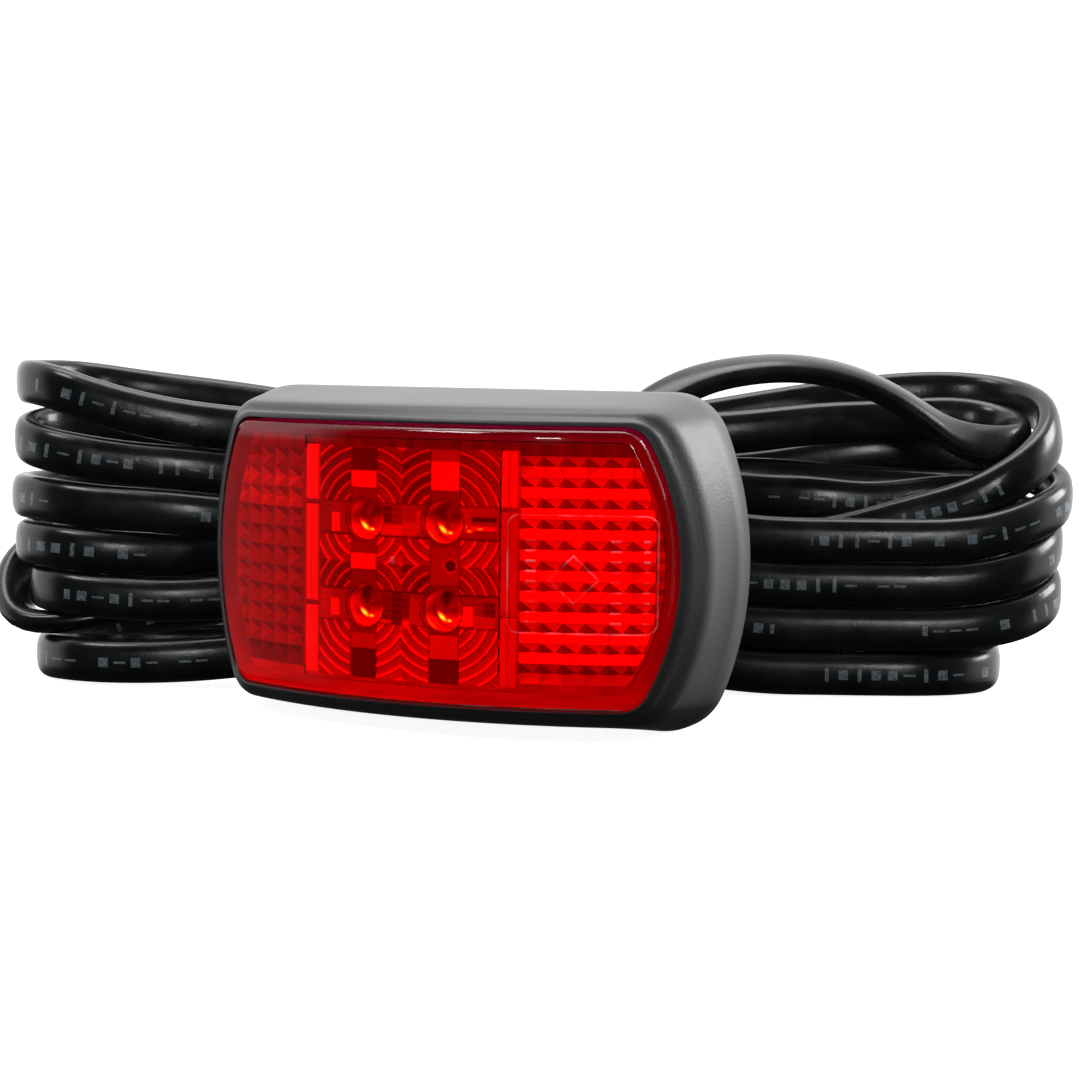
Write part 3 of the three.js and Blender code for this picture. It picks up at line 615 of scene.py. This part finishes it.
def add_world():
    """White behind, beside and above the lamp, dark on the side the lens looks at and below."""
    world = bpy.data.worlds.new("studio")
    bpy.context.scene.world = world
    n = Nodes(world=world)
    where = n.add("TexCoord").outputs["Generated"]

    def toward(direction, low, high, at_low, at_high):
        facing = n.add("VectorMath", {0: where, 1: Vector(direction).normalized()}, operation="DOT_PRODUCT")
        return n.spread(facing.outputs["Value"], low, high, at_low, at_high, "SMOOTHSTEP")

    front = toward((0.36, -0.92, 0.14), 0.05, 0.46, 1.40, 0.02)
    below = toward((0, 0, 1), -0.35, -0.12, 0.03, 1.0)
    n.finish(n.add("Background", {"Color": n.math("MULTIPLY", front, below)}), "OutputWorld")


def add_light(name, at, towards, size, power):
    data = bpy.data.lights.new(name, "AREA")
    data.shape, data.size, data.size_y, data.energy = "RECTANGLE", size[0], size[1], power
    light = bpy.data.objects.new(name, data)
    light.location = at
    light.rotation_mode = "QUATERNION"
    light.rotation_quaternion = (Vector(towards) - Vector(at)).to_track_quat("-Z", "Y")
    bpy.context.scene.collection.objects.link(light)


add_floor()
add_world()
add_light("top_box", (-0.05, 0.05, 0.75), (0.0, 0.0, 0.02), (0.7, 0.5), 5.5)
add_light("front_box", (-0.30, -0.60, 0.80), (0.0, 0.0, 0.02), (0.30, 0.22), 3.0)
add_light("left_strip", (0.11, -0.62, 0.10), (0.0, 0.03, 0.02), (0.07, 0.05), 0.40)
add_light("right_strip", (0.46, -0.48, 0.10), (0.0, 0.03, 0.02), (0.07, 0.07), 0.40)
add_light("side_box", (0.60, 0.42, 0.34), (0.0, 0.0, 0.02), (0.34, 0.36), 5.0)
bpy.context.scene.view_settings.view_transform = "Standard"


# ---------------------------------------------------------------- cover
def cover_plastic():
    """Black moulded plastic, with painted light and shade: faces turned forward or downward get a dark colour, faces
    turned up or sideways a lighter grey. Roughness and grain are the same all over.
    """
    n = Nodes("cover_plastic")
    normal = n.add("SeparateXYZ", {0: n.add("TexCoord").outputs["Normal"]}).outputs
    # painted shade and light: faces whose normal turns forward or downward take the dark front colour, the rest take
    # the lighter sides colour; the cover is one plastic
    painted_front_shade = n.spread(n.math("MINIMUM", normal[1], normal[2]), -0.50, -0.27, 1.0, 0.0)
    mottle, fine = n.noise(90.0, 3.0), n.noise(2600.0, 2.0, 0.6)
    sides = n.mottled(mottle, (0.069, 0.067, 0.065), (0.086, 0.084, 0.081))
    front = n.mottled(mottle, (0.012, 0.012, 0.014), (0.018, 0.018, 0.020))
    rough = n.spread(n.math("MULTIPLY_ADD", fine, 0.5, mottle), 0.4, 1.1, 0.36, 0.46)
    return n.finish(n.add("BsdfPrincipled", {
        "Base Color": n.mix(painted_front_shade, sides, front), "Roughness": rough, "IOR": 1.5, "Normal": n.bump(fine, 0.00003),
    }))


cover = build_cover(cover_plastic())
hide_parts("front_cover")
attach(cover, "cover")


# ---------------------------------------------------------------- red plastic
def lens_marks(n):
    """The lens's marks, painted as pale highlights where raised marks would catch light: a rounded outline, a plain
    diamond, rows of short bars, and a small pale spot.
    """
    x, z = n.place(0), n.place(2)
    near = n.near
    dx, dz = n.math("SUBTRACT", n.away(x, 22.0), 7.2), n.math("SUBTRACT", n.away(z, 21.0), 5.8)
    corner = n.math("SQRT", n.math("ADD", n.math("POWER", n.math("MAXIMUM", dx, 0.0), 2.0),
                                   n.math("POWER", n.math("MAXIMUM", dz, 0.0), 2.0)))
    edge = n.math("ADD", corner, n.math("MINIMUM", n.math("MAXIMUM", dx, dz), 0.0))
    outline = near(edge, 1.4, 0.10)
    diamond = near(n.math("ADD", n.away(x, 21.2), n.away(z, 20.4)), 2.9, 0.16)
    ticks = n.math("LESS_THAN", n.math("FRACT", n.math("DIVIDE", z, 1.25)), 0.22)
    column = n.every("MAXIMUM", near(x, 16.2, 0.62), near(x, 26.0, 0.62), near(x, 29.4, 0.35))
    faint = n.math("MULTIPLY", n.math("MAXIMUM", near(x, -27.3, 0.5), near(x, -25.6, 0.3)), 0.45)
    bars = n.every("MULTIPLY", ticks, near(z, 20.6, 5.6), n.math("MAXIMUM", column, faint))
    pale_spot = n.every("MULTIPLY", near(x, -1.6, 0.36), near(z, 22.0, 0.42), 3.2)
    marks = n.every("MAXIMUM", outline, diamond, bars, pale_spot)
    return n.math("MULTIPLY", marks, n.spread(n.noise(260.0, 3.0), 0.42, 0.62, 0.08, 1.0))


def red_clear(name, gloss_low, gloss_swing, marked=False):
    """The lens's clear red plastic: a tint and a glossy skin. The marked one shines more along its top and has pale
    highlights painted on its marks.
    """
    n = Nodes(name)
    flow, fine = n.noise(35.0, 2.0), n.noise(1400.0, 2.0)
    tint = n.mottled(flow, (0.93, 0.13, 0.15), (0.97, 0.16, 0.19))
    skin = n.bump(n.math("ADD", n.math("MULTIPLY", flow, 30.0), fine), 0.0000012)
    body = n.add("BsdfTransparent", {"Color": tint})
    low = gloss_low
    if marked:
        # painted highlights: a pale pink diffuse layer mixed in over the marks
        mark_highlight = n.add("BsdfDiffuse", {"Color": (1.0, 0.55, 0.66, 1.0)})
        body = n.add("MixShader", {0: n.math("MULTIPLY", lens_marks(n), 0.34), 1: body.outputs[0],
                                   2: mark_highlight.outputs[0]})
        low = n.spread(n.place(2), 36.2, 37.4, gloss_low, 0.05)
    gloss = n.add("BsdfGlossy", {"Color": (1.0, 0.93, 0.96, 1.0), "Roughness": 0.05, "Normal": skin})
    facing = n.add("LayerWeight", {"Blend": 0.5, "Normal": skin}).outputs["Facing"]
    shine = n.math("MULTIPLY_ADD", n.math("POWER", facing, 7.0), gloss_swing, low)
    return n.finish(n.add("MixShader", {0: shine, 1: body.outputs[0], 2: gloss.outputs[0]}))


def lens_wall():
    """The lens's thick edge, with painted light: dark and a little purple along the top as a painted reflection,
    painted brighter along the bottom, and a faint painted glow of its own colour.
    """
    n = Nodes("lens_wall")
    streak = n.noise(120.0, 3.0)
    # painted light and shade by height: bright red low down, dark with a painted purple reflection at the top
    colour = n.colours(n.spread(n.place(2), 4.0, 39.0, 0.0, 1.0),
                       (0.0, (0.48, 0.002, 0.002)), (0.10, (0.36, 0.0, 0.002)), (0.5, (0.24, 0.0, 0.004)),
                       (0.90, (0.22, 0.0, 0.010)), (0.97, (0.16, 0.0, 0.022)))
    colour = n.mix(n.spread(streak, 0.35, 0.7, 0.0, 0.5), colour, (0.10, 0.0, 0.003))
    return n.finish(n.add("BsdfPrincipled", {
        "Base Color": colour, "Roughness": 0.25, "IOR": 1.45, "Normal": n.bump(streak, 0.00003),
        # a painted glow: the wall gives off its own colour
        "Emission Color": colour, "Emission Strength": 0.7,
    }))


def optic_red():
    """Red moulded optic plastic seen through the lens, with painted light: each facet's attribute paints it from a
    dark, slightly purple red to bright red, a faint painted glow lights it all, and the brightest facets glow as
    painted yellow glints.
    """
    n = Nodes("optic_red")
    level = n.math("MULTIPLY", n.value("painted_brightness"), n.spread(n.noise(160.0, 3.0), 0.3, 0.7, 0.92, 1.06))
    colour = n.mix(n.spread(level, 0.0, 1.0, 0.0, 1.0), (0.075, 0.0, 0.008), (1.0, 0.012, 0.006))
    glint = n.spread(level, 1.5, 2.6, 0.0, 1.0)
    return n.finish(n.add("BsdfPrincipled", {
        "Base Color": colour, "Roughness": 0.12, "IOR": 1.5,
        "Normal": n.bump(n.noise(1800.0, 2.0), 0.000008),
        # painted glow and glints: the optic gives off its own colour, and yellow light where glints are painted
        "Emission Color": n.mix(glint, colour, (0.5, 0.8, 0.01)),
        "Emission Strength": n.math("MULTIPLY_ADD", glint, 18.0, n.spread(level, 0.6, 1.0, 0.78, 1.08)),
    }))


def build_lens(materials):
    def face(x):
        return bow(LENS_R, x)

    def inner(x):
        return bow(INNER_R, x)

    foot = inset(TUB, 0.3)
    plan = [(ring(LENS_FACE, face, s), 0) for s in (0.1, 0.3, 0.5, 0.7, 0.85)]
    plan += [
        (ring(inset(LENS_FACE, 0.9), lambda x: face(x) + 0.03), 0.4),
        (ring(inset(LENS_FACE, 0.2), lambda x: face(x) + 0.40), 0.4),
        (ring(LENS_FACE, lambda x: face(x) + 1.1), 0.3),
        (ring(LENS_FACE, LENS_FOOT_Y - 1.6), 0.2),
        (ring(foot, LENS_FOOT_Y - 1.2), 0.15),
        (ring(foot, LENS_FOOT_Y), 0.15),
        (ring(WELL, LENS_FOOT_Y), 0.15),
        (ring(WELL, lambda x: inner(x) + 0.4), 0.2),
        (ring(inset(WELL, 0.5), inner), 0.2),
    ]
    plan += [(ring(WELL, inner, s), 0) for s in (0.85, 0.7, 0.5, 0.3, 0.1)]
    rings = rounded(plan)
    count = len(rings[0])
    points = np.vstack(rings + [np.array([[0, face(0.0), MID_Z], [0, inner(0.0), MID_Z]])])
    faces = strip_faces(len(rings), count)
    last = (len(rings) - 1) * count
    faces += [(len(points) - 2, (i + 1) % count, i) for i in range(count)]
    faces += [(len(points) - 1, last + i, last + (i + 1) % count) for i in range(count)]
    middle = np.array([points[list(f)].mean(0) for f in faces])
    depth = middle[:, 1] - face(middle[:, 0])
    which = (depth > 1.3).astype(int) + (depth > 2.7)
    piece = add_mesh("lens_shell", points, faces, materials, face_material=which)
    return facing_out(piece)


lens = build_lens([red_clear("lens_clear", 0.005, 0.8, marked=True), red_clear("lens_inner", 0.003, 0.2),
                   lens_wall()])
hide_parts("lens")
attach(lens, "lamp")


# ---------------------------------------------------------------- optics behind the lens
def end_limit(z):
    """How far a part behind the lens may reach sideways at height z."""
    end_r = (WELL[1] ** 2 + WELL[2] ** 2) / (2 * WELL[2])
    return WELL[0] - end_r + np.sqrt(end_r * end_r - (np.asarray(z) - MID_Z) ** 2) - 0.5


def add_border(points, faces, level, span, hole, lift, shade):
    """A flat flange round a panel, out to the lens's wall: span and hole are (x0, x1, z0, z1)."""
    x0, x1, z0, z1 = span
    xs = sorted({*np.linspace(x0, x1, 25).tolist(), hole[0], hole[1]})
    zs = sorted({*np.linspace(z0, z1, 41).tolist(), hole[2], hole[3]})
    first = len(points)
    for z in zs:
        edge = float(end_limit(z)) + 0.4
        for x in xs:
            x = min(max(x, -edge), edge)
            points.append((x, float(bow(INNER_R, x)) + lift, z))
    for k in range(len(zs) - 1):
        for i in range(len(xs) - 1):
            x, z = (xs[i] + xs[i + 1]) / 2, (zs[k] + zs[k + 1]) / 2
            if not (hole[0] < x < hole[1] and hole[2] < z < hole[3]):
                faces.append(quad(first + k * len(xs) + i, len(xs)))
                # each flange face takes the painted brightness that shade gives for its place
                level.append(shade(x, z))


def flange_light_and_shade(x, z):
    """Painted light and shade on the flanges: dark above, bright along the bottom, a broken painted glow at the right
    end.
    """
    if z > 35.0:
        return 0.10 + 0.03 * math.sin(x * 2.1)
    if z < 7.3:
        return 0.36 + 0.05 * math.sin(x * 0.7)
    if x > 0:
        return 0.26 + 0.20 * (math.sin(z * 4.93) > 0.1) + 0.08 * math.sin(x * 6.0 + z)
    return 0.14 + 0.05 * math.sin(z * 2.2)


def build_reflex(name, x0, x1, cols, painted_levels, span, material):
    """A panel of hollow pyramids seen from their open side, in a flat flange. Each facet holds its own painted
    brightness, standing in for the light and shade of its reflections.
    """
    z0, z1, rows = 7.2, 35.2, 11
    front, thick, depth = OPTIC_GAP, 0.8, 1.2
    points, faces, level = [], [], []

    def spot(i, k, y):
        z = z0 + (z1 - z0) * k / rows
        x = float(np.clip(x0 + (x1 - x0) * i / cols, -end_limit(z), end_limit(z)))
        points.append((x, float(bow(INNER_R, x)) + y, z))
        return len(points) - 1

    def add(face, value):
        faces.append(face)
        level.append(value)

    for k in range(rows):
        for i in range(cols):
            jitter = 1.0 + 0.10 * rng.standard_normal(8)
            a, b, c, d = (spot(i + u, k + v, front + 0.05) for u, v in ((0, 0), (1, 0), (1, 1), (0, 1)))
            tip = spot(i + 0.5, k + 0.5, front + depth)
            le, ri = spot(i, k + 0.5, front + 0.05), spot(i + 1, k + 0.5, front + 0.05)
            # painted light: each facet gets its painted level, jittered, times its row's factor
            names = ("top", "left_high", "left_low", "bottom", "right_low", "right_high")
            facets = ((d, tip, c), (d, le, tip), (le, a, tip), (a, b, tip), (b, ri, tip), (ri, c, tip))
            for facet, nm, j in zip(facets, names, jitter):
                add(facet, painted_levels[nm] * j * painted_levels["row"].get(k, 1.0))
    back = {}

    def rear(i, k):
        if (i, k) not in back:
            back[i, k] = spot(i, k, front + thick + 0.9)
        return back[i, k]

    # the backs of the cells get one fixed painted level
    for k in range(rows):
        for i in range(cols):
            add((rear(i, k), rear(i, k + 1), rear(i + 1, k + 1), rear(i + 1, k)), 0.3)
    add_border(points, faces, level, span, (x0, x1, z0, z1), front + 0.1, flange_light_and_shade)
    piece = add_mesh(name, points, faces, [material], smooth=False)
    add_attribute(piece, "painted_brightness", np.clip(level, 0, 1.2), "FACE")
    return piece


OPTIC_RED = optic_red()
# painted light and shade of each facet of a cell, and a factor for the rows that differ
RIGHT_PAINTED_LIGHT = {"top": 0.66, "left_high": 0.22, "right_high": 0.26, "left_low": 0.95, "right_low": 0.92,
                "bottom": 1.0, "row": {0: 0.55, 10: 0.75}}
LEFT_PAINTED_LIGHT = {"top": 0.08, "left_high": 0.26, "right_high": 0.13, "left_low": 0.32, "right_low": 0.10,
               "bottom": 0.14, "row": {0: 0.5, 8: 1.5, 9: 1.6, 10: 0.9}}
LEFT_SPAN, MIDDLE_SPAN, RIGHT_SPAN = [(*ends, FLANGE_LOW, FLANGE_HIGH)
                                      for ends in ((-32.0, -16.7), (-16.7, 13.85), (13.85, 32.0))]
for name, x0, x1, cols, painted_levels, span in (("reflex_left_cells", -29.9, -16.9, 5, LEFT_PAINTED_LIGHT, LEFT_SPAN),
                                         ("reflex_right_cells", 14.0, 29.5, 6, RIGHT_PAINTED_LIGHT, RIGHT_SPAN)):
    panel = build_reflex(name, x0, x1, cols, painted_levels, span, OPTIC_RED)
    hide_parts(name.replace("_cells", ""))
    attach(panel, "lamp")


# Blocks of the upright stepped flats, measured from each LED's centre: low and high z, painted brightness (which also
# sets the block's height)
UPRIGHT_BLOCKS = (
    ((6.0, 8.9, 0.07), (3.9, 6.0, 0.95), (-4.4, 3.9, 0.24), (-9.0, -4.4, 0.92)),
    ((7.5, 8.9, 0.40), (3.9, 7.5, 0.88), (-3.2, 3.9, 0.22), (-9.0, -3.2, 0.34)),
    ((4.6, 9.0, 0.92), (-3.6, 4.6, 0.20), (-5.4, -3.6, 0.42), (-9.2, -5.4, 0.06)),
    ((3.2, 9.0, 0.34), (-3.2, 3.2, 0.20), (-6.1, -3.2, 0.62), (-9.2, -6.1, 0.07)),
)
# The same for the flats that run sideways: low and high x, low and high z, painted brightness
LEVEL_BLOCKS = (
    ((-7, -5.1, -2.1, 2.1, 0.20), (-5.0, -3.7, -1.8, 0.5, 0.95), (2.5, 4.1, -0.4, 1.8, 0.10),
     (4.1, 6.0, -0.6, 2.1, 0.26), (2.5, 6.0, -2.1, -0.6, 0.75), (-3.1, 2.5, -2.1, 2.1, 0.28)),
    ((-7, -3.4, -0.2, 2.1, 0.36), (-3.4, -2.6, -1.0, 1.4, 0.62), (-5.6, -3.4, -2.1, -0.2, 0.60),
     (2.2, 3.9, -0.4, 1.7, 0.52), (3.9, 7.0, 0.2, 0.8, 0.06), (3.9, 7.0, -0.9, -0.3, 0.90),
     (2.2, 7.0, -2.1, -0.9, 0.30), (3.9, 7.0, 0.8, 2.1, 0.42)),
    ((-7, -5.1, -2.1, 2.1, 0.38), (-5.0, -3.7, -1.5, 0.6, 0.92), (2.5, 4.1, -1.6, 1.8, 0.16),
     (4.1, 6.2, -2.1, 2.1, 0.09), (2.5, 4.1, -2.1, -1.6, 0.7)),
    ((-7, -4.4, -1.2, 1.8, 0.14), (-4.4, -2.6, -2.1, 1.2, 0.46), (2.4, 4.3, -1.7, 0.6, 0.98),
     (4.3, 5.6, -0.6, 2.1, 0.30), (5.6, 7.0, -0.9, 1.3, 0.12), (4.3, 7.0, -2.1, -0.6, 0.55),
     (2.4, 4.3, 0.6, 2.1, 0.30)),
)


HOLE_R, FLAT_HALF, LEVEL_HALF = 2.75, 1.95, 2.05     # holes round the LEDs, and half widths of the flats


def optic_pattern(x, z):
    """The ring optic at x, z: its height, its painted brightness (light and shade on rings and flats, and glints),
    and where it is cut away round each LED.
    """
    right, low = x >= OPTIC_X, z < MID_Z - 0.3
    number = right.astype(int) + 2 * low
    centre_x = np.where(right, LED_SPOTS[1][0], LED_SPOTS[0][0])
    centre_z = np.where(low, LED_SPOTS[2][1], LED_SPOTS[0][1])
    dx, dz = x - centre_x, z - centre_z
    r = np.hypot(dx, dz)
    p = np.mod(r, 1.34) / 1.34
    angle = np.arctan2(dz, dx)
    # painted light and shade: each LED's rings brighter towards its lower right, with bright and dark lines at the
    # ring steps
    lit = 0.30 + 0.15 * np.cos(angle - math.radians(-50)) + 0.05 * np.sin(r * 1.9 + number)
    height = 0.50 * p
    painted_brightness = lit + 0.16 * (p - 0.5)
    painted_brightness = np.where((p > 0.66) & (p < 0.84), 0.75 + 0.5 * lit, painted_brightness)
    painted_brightness = np.where(p > 0.90, 0.05, painted_brightness)
    painted_brightness = np.where((p > 0.10) & (p < 0.15), lit + 0.25, painted_brightness)
    flat = np.abs(dx - np.where(right, 0.45, -0.1))
    upright, level = flat < FLAT_HALF, np.abs(dz) < LEVEL_HALF
    # the flats: a base painted level, then each block's painted brightness
    for k in range(len(LED_SPOTS)):
        here = upright & (number == k)
        painted_brightness = np.where(here, 0.25, painted_brightness)
        for z0, z1, value in UPRIGHT_BLOCKS[k]:
            painted_brightness = np.where(here & (dz > z0) & (dz < z1), value + 0.03 * np.sin(dx * 9 + dz * 4), painted_brightness)
            height = np.where(here & (dz > z0) & (dz < z1), 0.10 + 0.35 * value, height)
        here = level & ~upright & (number == k)
        painted_brightness = np.where(here, 0.32, painted_brightness)
        for x0, x1, z0, z1, value in LEVEL_BLOCKS[k]:
            inside = here & (dx > x0) & (dx < x1) & (dz > z0) & (dz < z1)
            painted_brightness = np.where(inside, value + 0.04 * np.sin(dz * 8 + k), painted_brightness)
            height = np.where(inside, 0.10 + 0.35 * value, height)
    # dark joint lines where the flats meet the rings
    for d, half, mask in ((flat, FLAT_HALF, ~level), (np.abs(dz), LEVEL_HALF, ~upright)):
        painted_brightness = np.where((np.abs(d - half) < 0.07) & mask, 0.05, painted_brightness)
    # a round pit between the right LEDs: painted shade inside, a brighter painted ring round it
    pit = np.hypot(x - LED_SPOTS[1][0] - 1.1, z - MID_Z + 0.2)
    painted_brightness = np.where(pit < 0.95, 0.62, painted_brightness)
    painted_brightness = np.where(pit < 0.72, 0.02, painted_brightness)
    height = np.where(pit < 0.72, 0.0, height)
    hole = r < HOLE_R
    height = np.where(hole, 0.0, height)
    painted_brightness = np.where((r > HOLE_R) & (r < HOLE_R + 0.2), 0.10, painted_brightness)
    # painted yellow glints right of the upper right LED
    glint = np.zeros_like(x)
    for gx, gz, wide, tall in ((3.6, -0.95, 0.42, 0.13), (3.2, -0.45, 0.10, 0.16), (5.05, -0.62, 0.5, 0.08)):
        glint += np.exp(-((x - LED_SPOTS[1][0] - gx) / wide) ** 2 - ((z - LED_SPOTS[1][1] - gz) / tall) ** 2)
    return height, painted_brightness + 3.0 * glint, hole


def build_optic(material):
    """The ring optic as a fine sheet with its relief, a collar round each LED and a flange round the whole."""
    x0, x1, z0, z1, step = -14.1, 11.3, OPTIC_LOW, OPTIC_HIGH, 0.13
    nx, nz = int((x1 - x0) / step) + 1, int((z1 - z0) / step) + 1
    gx, gz = np.meshgrid(np.linspace(x0, x1, nx), np.linspace(z0, z1, nz))
    height, painted_brightness, hole = optic_pattern(gx, gz)
    depth = bow(INNER_R, gx) + OPTIC_GAP + 0.05 + 0.55 - height
    points = np.c_[gx.ravel(), depth.ravel(), gz.ravel()]
    keep = ~hole
    faces = []
    for k in range(nz - 1):
        for i in range(nx - 1):
            if keep[k, i] or keep[k, i + 1] or keep[k + 1, i] or keep[k + 1, i + 1]:
                faces.append(quad(k * nx + i, nx))
    points, painted_brightness = points.tolist(), painted_brightness.ravel()
    painted_brightness = [float(painted_brightness[list(f)].mean()) for f in faces]
    sides = 72
    # radius, distance behind the sheet, painted brightness of each ring of a collar
    collar = ((2.72, -0.02, 0.5), (2.78, 0.5, 0.25), (2.62, 0.55, 0.9), (2.55, 1.4, 0.75), (2.7, 3.0, 0.45),
              (3.0, 5.6, 0.25))
    for number, (x, z) in enumerate(LED_SPOTS):
        for r, back, bright in collar:
            for i in range(sides):
                a = 2 * math.pi * i / sides
                px = x + r * math.cos(a)
                points.append((px, float(bow(INNER_R, px)) + 0.85 + back, z + r * math.sin(a)))
                # painted light round each collar: brighter on one side, with ripples
                if back < 5:
                    painted_brightness.append(bright * (0.75 + 0.35 * math.cos(a + 0.9) + 0.25 * math.cos(5 * a + 2 * number)))
        first = len(points) - len(collar) * sides
        faces += [tuple(first + v for v in f) for f in strip_faces(len(collar), sides)]
    add_border(points, faces, painted_brightness, MIDDLE_SPAN, (x0, x1, z0, z1), 0.9, flange_light_and_shade)
    piece = add_mesh("ring_optic_face", points, faces, [material], smooth=False)
    add_attribute(piece, "painted_brightness", painted_brightness, "FACE")
    return piece


optic = build_optic(OPTIC_RED)
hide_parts("ring_optic")
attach(optic, "lamp")


def led_glow():
    """Clear LED resin with painted light: deep red above, painted bright below, a painted yellow glint low in the
    dome, and a faint painted glow all over.
    """
    n = Nodes("led_dome")
    painted_glint = n.value("painted_glint")
    cloud = n.noise(900.0, 2.0)
    level = n.math("MULTIPLY", n.value("painted_brightness"), n.spread(cloud, 0.3, 0.7, 0.85, 1.1))
    colour = n.mix(level, (0.06, 0.0, 0.0), (1.0, 0.012, 0.006))
    colour = n.mix(n.spread(painted_glint, 0.02, 0.30, 0.0, 1.0), colour, (0.20, 0.85, 0.02))
    # painted glow and glints: the dome gives off its colour, strongly where glints are painted
    return n.finish(n.add("BsdfPrincipled", {
        "Base Color": colour, "Roughness": 0.06, "IOR": 1.5, "Emission Color": colour,
        "Emission Strength": n.math("MULTIPLY_ADD", painted_glint, 60.0, 0.7),
        "Normal": n.bump(cloud, 0.00001),
    }))


def build_led(number, x, z, material):
    """A square foot under a collar and a domed resin body."""
    sides = 64
    tall = -3.6
    plan = [(3.55, -0.2, 1), (3.6, -0.3, 1), (3.6, -2.0, 1), (3.45, -2.2, 1), (LED_R + 0.35, -2.2, 0),
            (LED_R + 0.35, -2.7, 0), (LED_R + 0.2, -2.85, 0), (LED_R, -2.95, 0), (LED_R, tall, 0)]
    plan += [(LED_R * math.cos(math.radians(a)), tall - LED_R * math.sin(math.radians(a)), 0)
             for a in range(3, 88, 3)]
    points, painted_brightness, painted_glint = [], [], []
    for r, y, square in plan:
        for i in range(sides):
            a = 2 * math.pi * i / sides
            reach = r / (abs(math.cos(a)) ** 8 + abs(math.sin(a)) ** 8) ** 0.125 if square else r
            dx, dz = reach * math.cos(a), reach * math.sin(a)
            points.append((x + dx, BOARD_Y + y, z + dz))
            # painted light: the dome brighter low down, a bright arc, and painted glints low in the dome
            low_light = min(max(0.5 - 0.5 * dz / LED_R, 0.0), 1.0)
            arc = 0.30 * math.exp(-((math.hypot(dx, dz) - 1.75) / 0.16) ** 2) * max(math.cos(a + 0.7), 0.0)
            painted_brightness.append(0.05 + 0.62 * low_light ** 1.6 + 0.10 * math.cos(3 * a + number) + arc)
            u = (dx + 0.95) * 0.80 - (dz + 1.05) * 0.60
            v = (dx + 0.95) * 0.60 + (dz + 1.05) * 0.80
            spot = math.exp(-(u / 0.55) ** 2 - (v / 0.30) ** 2)
            spot += 0.6 * math.exp(-((dx - 0.10) / 0.24) ** 2 - ((dz + 1.45) / 0.16) ** 2)
            painted_glint.append(spot if y <= tall else 0.0)
    faces = strip_faces(len(plan), sides) + cap_faces(len(plan), sides)
    piece = add_mesh(f"led_{number}_dome", points, faces, [material])
    add_attribute(piece, "painted_brightness", painted_brightness)
    add_attribute(piece, "painted_glint", painted_glint)
    facing_out(piece)
    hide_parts(f"led_{number}")
    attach(piece, "lamp")


LED_GLOW = led_glow()
for number, (spot_x, spot_z) in enumerate(LED_SPOTS, 1):
    build_led(number, spot_x, spot_z, LED_GLOW)


def build_light_bar(name, x0, x1, painted_levels, material):
    """Three flat guides in line, each with two fine flutes down its face."""
    notch = 0.6
    ends = [OPTIC_LOW, MID_Z - 6, MID_Z + 7, OPTIC_HIGH]
    across = [0.0, 0.06, 0.10, 0.42, 0.47, 0.52, 0.90, 0.94, 1.0]
    raised = [0.5, 0.1, 0.0, 0.0, 0.14, 0.0, 0.0, 0.1, 0.5]
    # painted light and shade across each guide, scaled per guide by its painted levels, and darker at each guide's
    # ends
    shade = [0.3, 0.8, 1.0, 0.95, 0.45, 0.9, 1.0, 0.7, 0.3]
    points, faces, painted_brightness = [], [], []
    for s in range(3):
        low = ends[s] + (notch / 2 if s else 0)
        high = ends[s + 1] - (notch / 2 if s < 2 else 0)
        rows = [(low, 0.5), (low + 0.15, 0.05), (low + 0.3, 0.0),
                (high - 0.3, 0.0), (high - 0.15, 0.05), (high, 0.5)]
        base = len(points)
        for z, drop in rows:
            for a, rise, sh in zip(across, raised, shade):
                x = x0 + (x1 - x0) * a
                points.append((x, float(bow(INNER_R, x)) + 0.30 + max(rise, drop), z))
                painted_brightness.append(sh * painted_levels[s] * (0.6 if drop > 0.3 else 1.0))
        n = len(across)
        faces += [quad(base + k * n + i, n) for k in range(len(rows) - 1) for i in range(n - 1)]
    piece = add_mesh(name, points, faces, [material], smooth=False)
    add_attribute(piece, "painted_brightness", painted_brightness)
    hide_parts(name.replace("_face", ""))
    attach(piece, "lamp")


build_light_bar("light_bar_left_face", -16.5, -14.3, (0.95, 0.85, 1.0), OPTIC_RED)
build_light_bar("light_bar_right_face", 11.5, 13.7, (0.70, 0.62, 0.85), OPTIC_RED)

# ---------------------------------------------------------------- materials of the carried-over pieces
RUBBER = moulded("soft_rubber", (0.010, 0.010, 0.011), (0.018, 0.018, 0.019), 0.7, 0.00003)
BLACK = moulded("black_plastic", (0.012, 0.012, 0.013), (0.020, 0.020, 0.021), 0.45)
STEEL = metal("steel_plate", (0.62, 0.63, 0.65), 0.28)
BRASS = metal("brass_plate", (0.72, 0.52, 0.20), 0.30)
TINNED = metal("tinned_copper", (0.70, 0.66, 0.60), 0.32)
BOARD = moulded("board_mask", (0.012, 0.075, 0.030), (0.020, 0.110, 0.045), 0.35)
CHIP = moulded("chip_body", (0.012, 0.012, 0.013), (0.022, 0.022, 0.022), 0.5)
RED_CORE = moulded("red_core", (0.42, 0.012, 0.012), (0.50, 0.020, 0.018), 0.4)

FINISHES = {
    "lens_seal": RUBBER, "tub": BLACK, "mounting_pad": RUBBER, "cord_grommet": RUBBER, "hank_tie": BLACK,
    "insert_left": BRASS, "insert_right": BRASS, "circuit_board": BOARD, "core_red": RED_CORE,
    "core_black": BLACK, "core_red_tip": TINNED, "core_black_tip": TINNED, "board_screw_left": STEEL,
    "board_screw_right": STEEL, "diode": CHIP, "regulator": CHIP, "capacitor": STEEL,
    **{f"resistor_{i}": CHIP for i in range(1, 5)},
}
for node, material in FINISHES.items():
    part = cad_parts[node]
    part.data.materials.clear()
    part.data.materials.append(material)
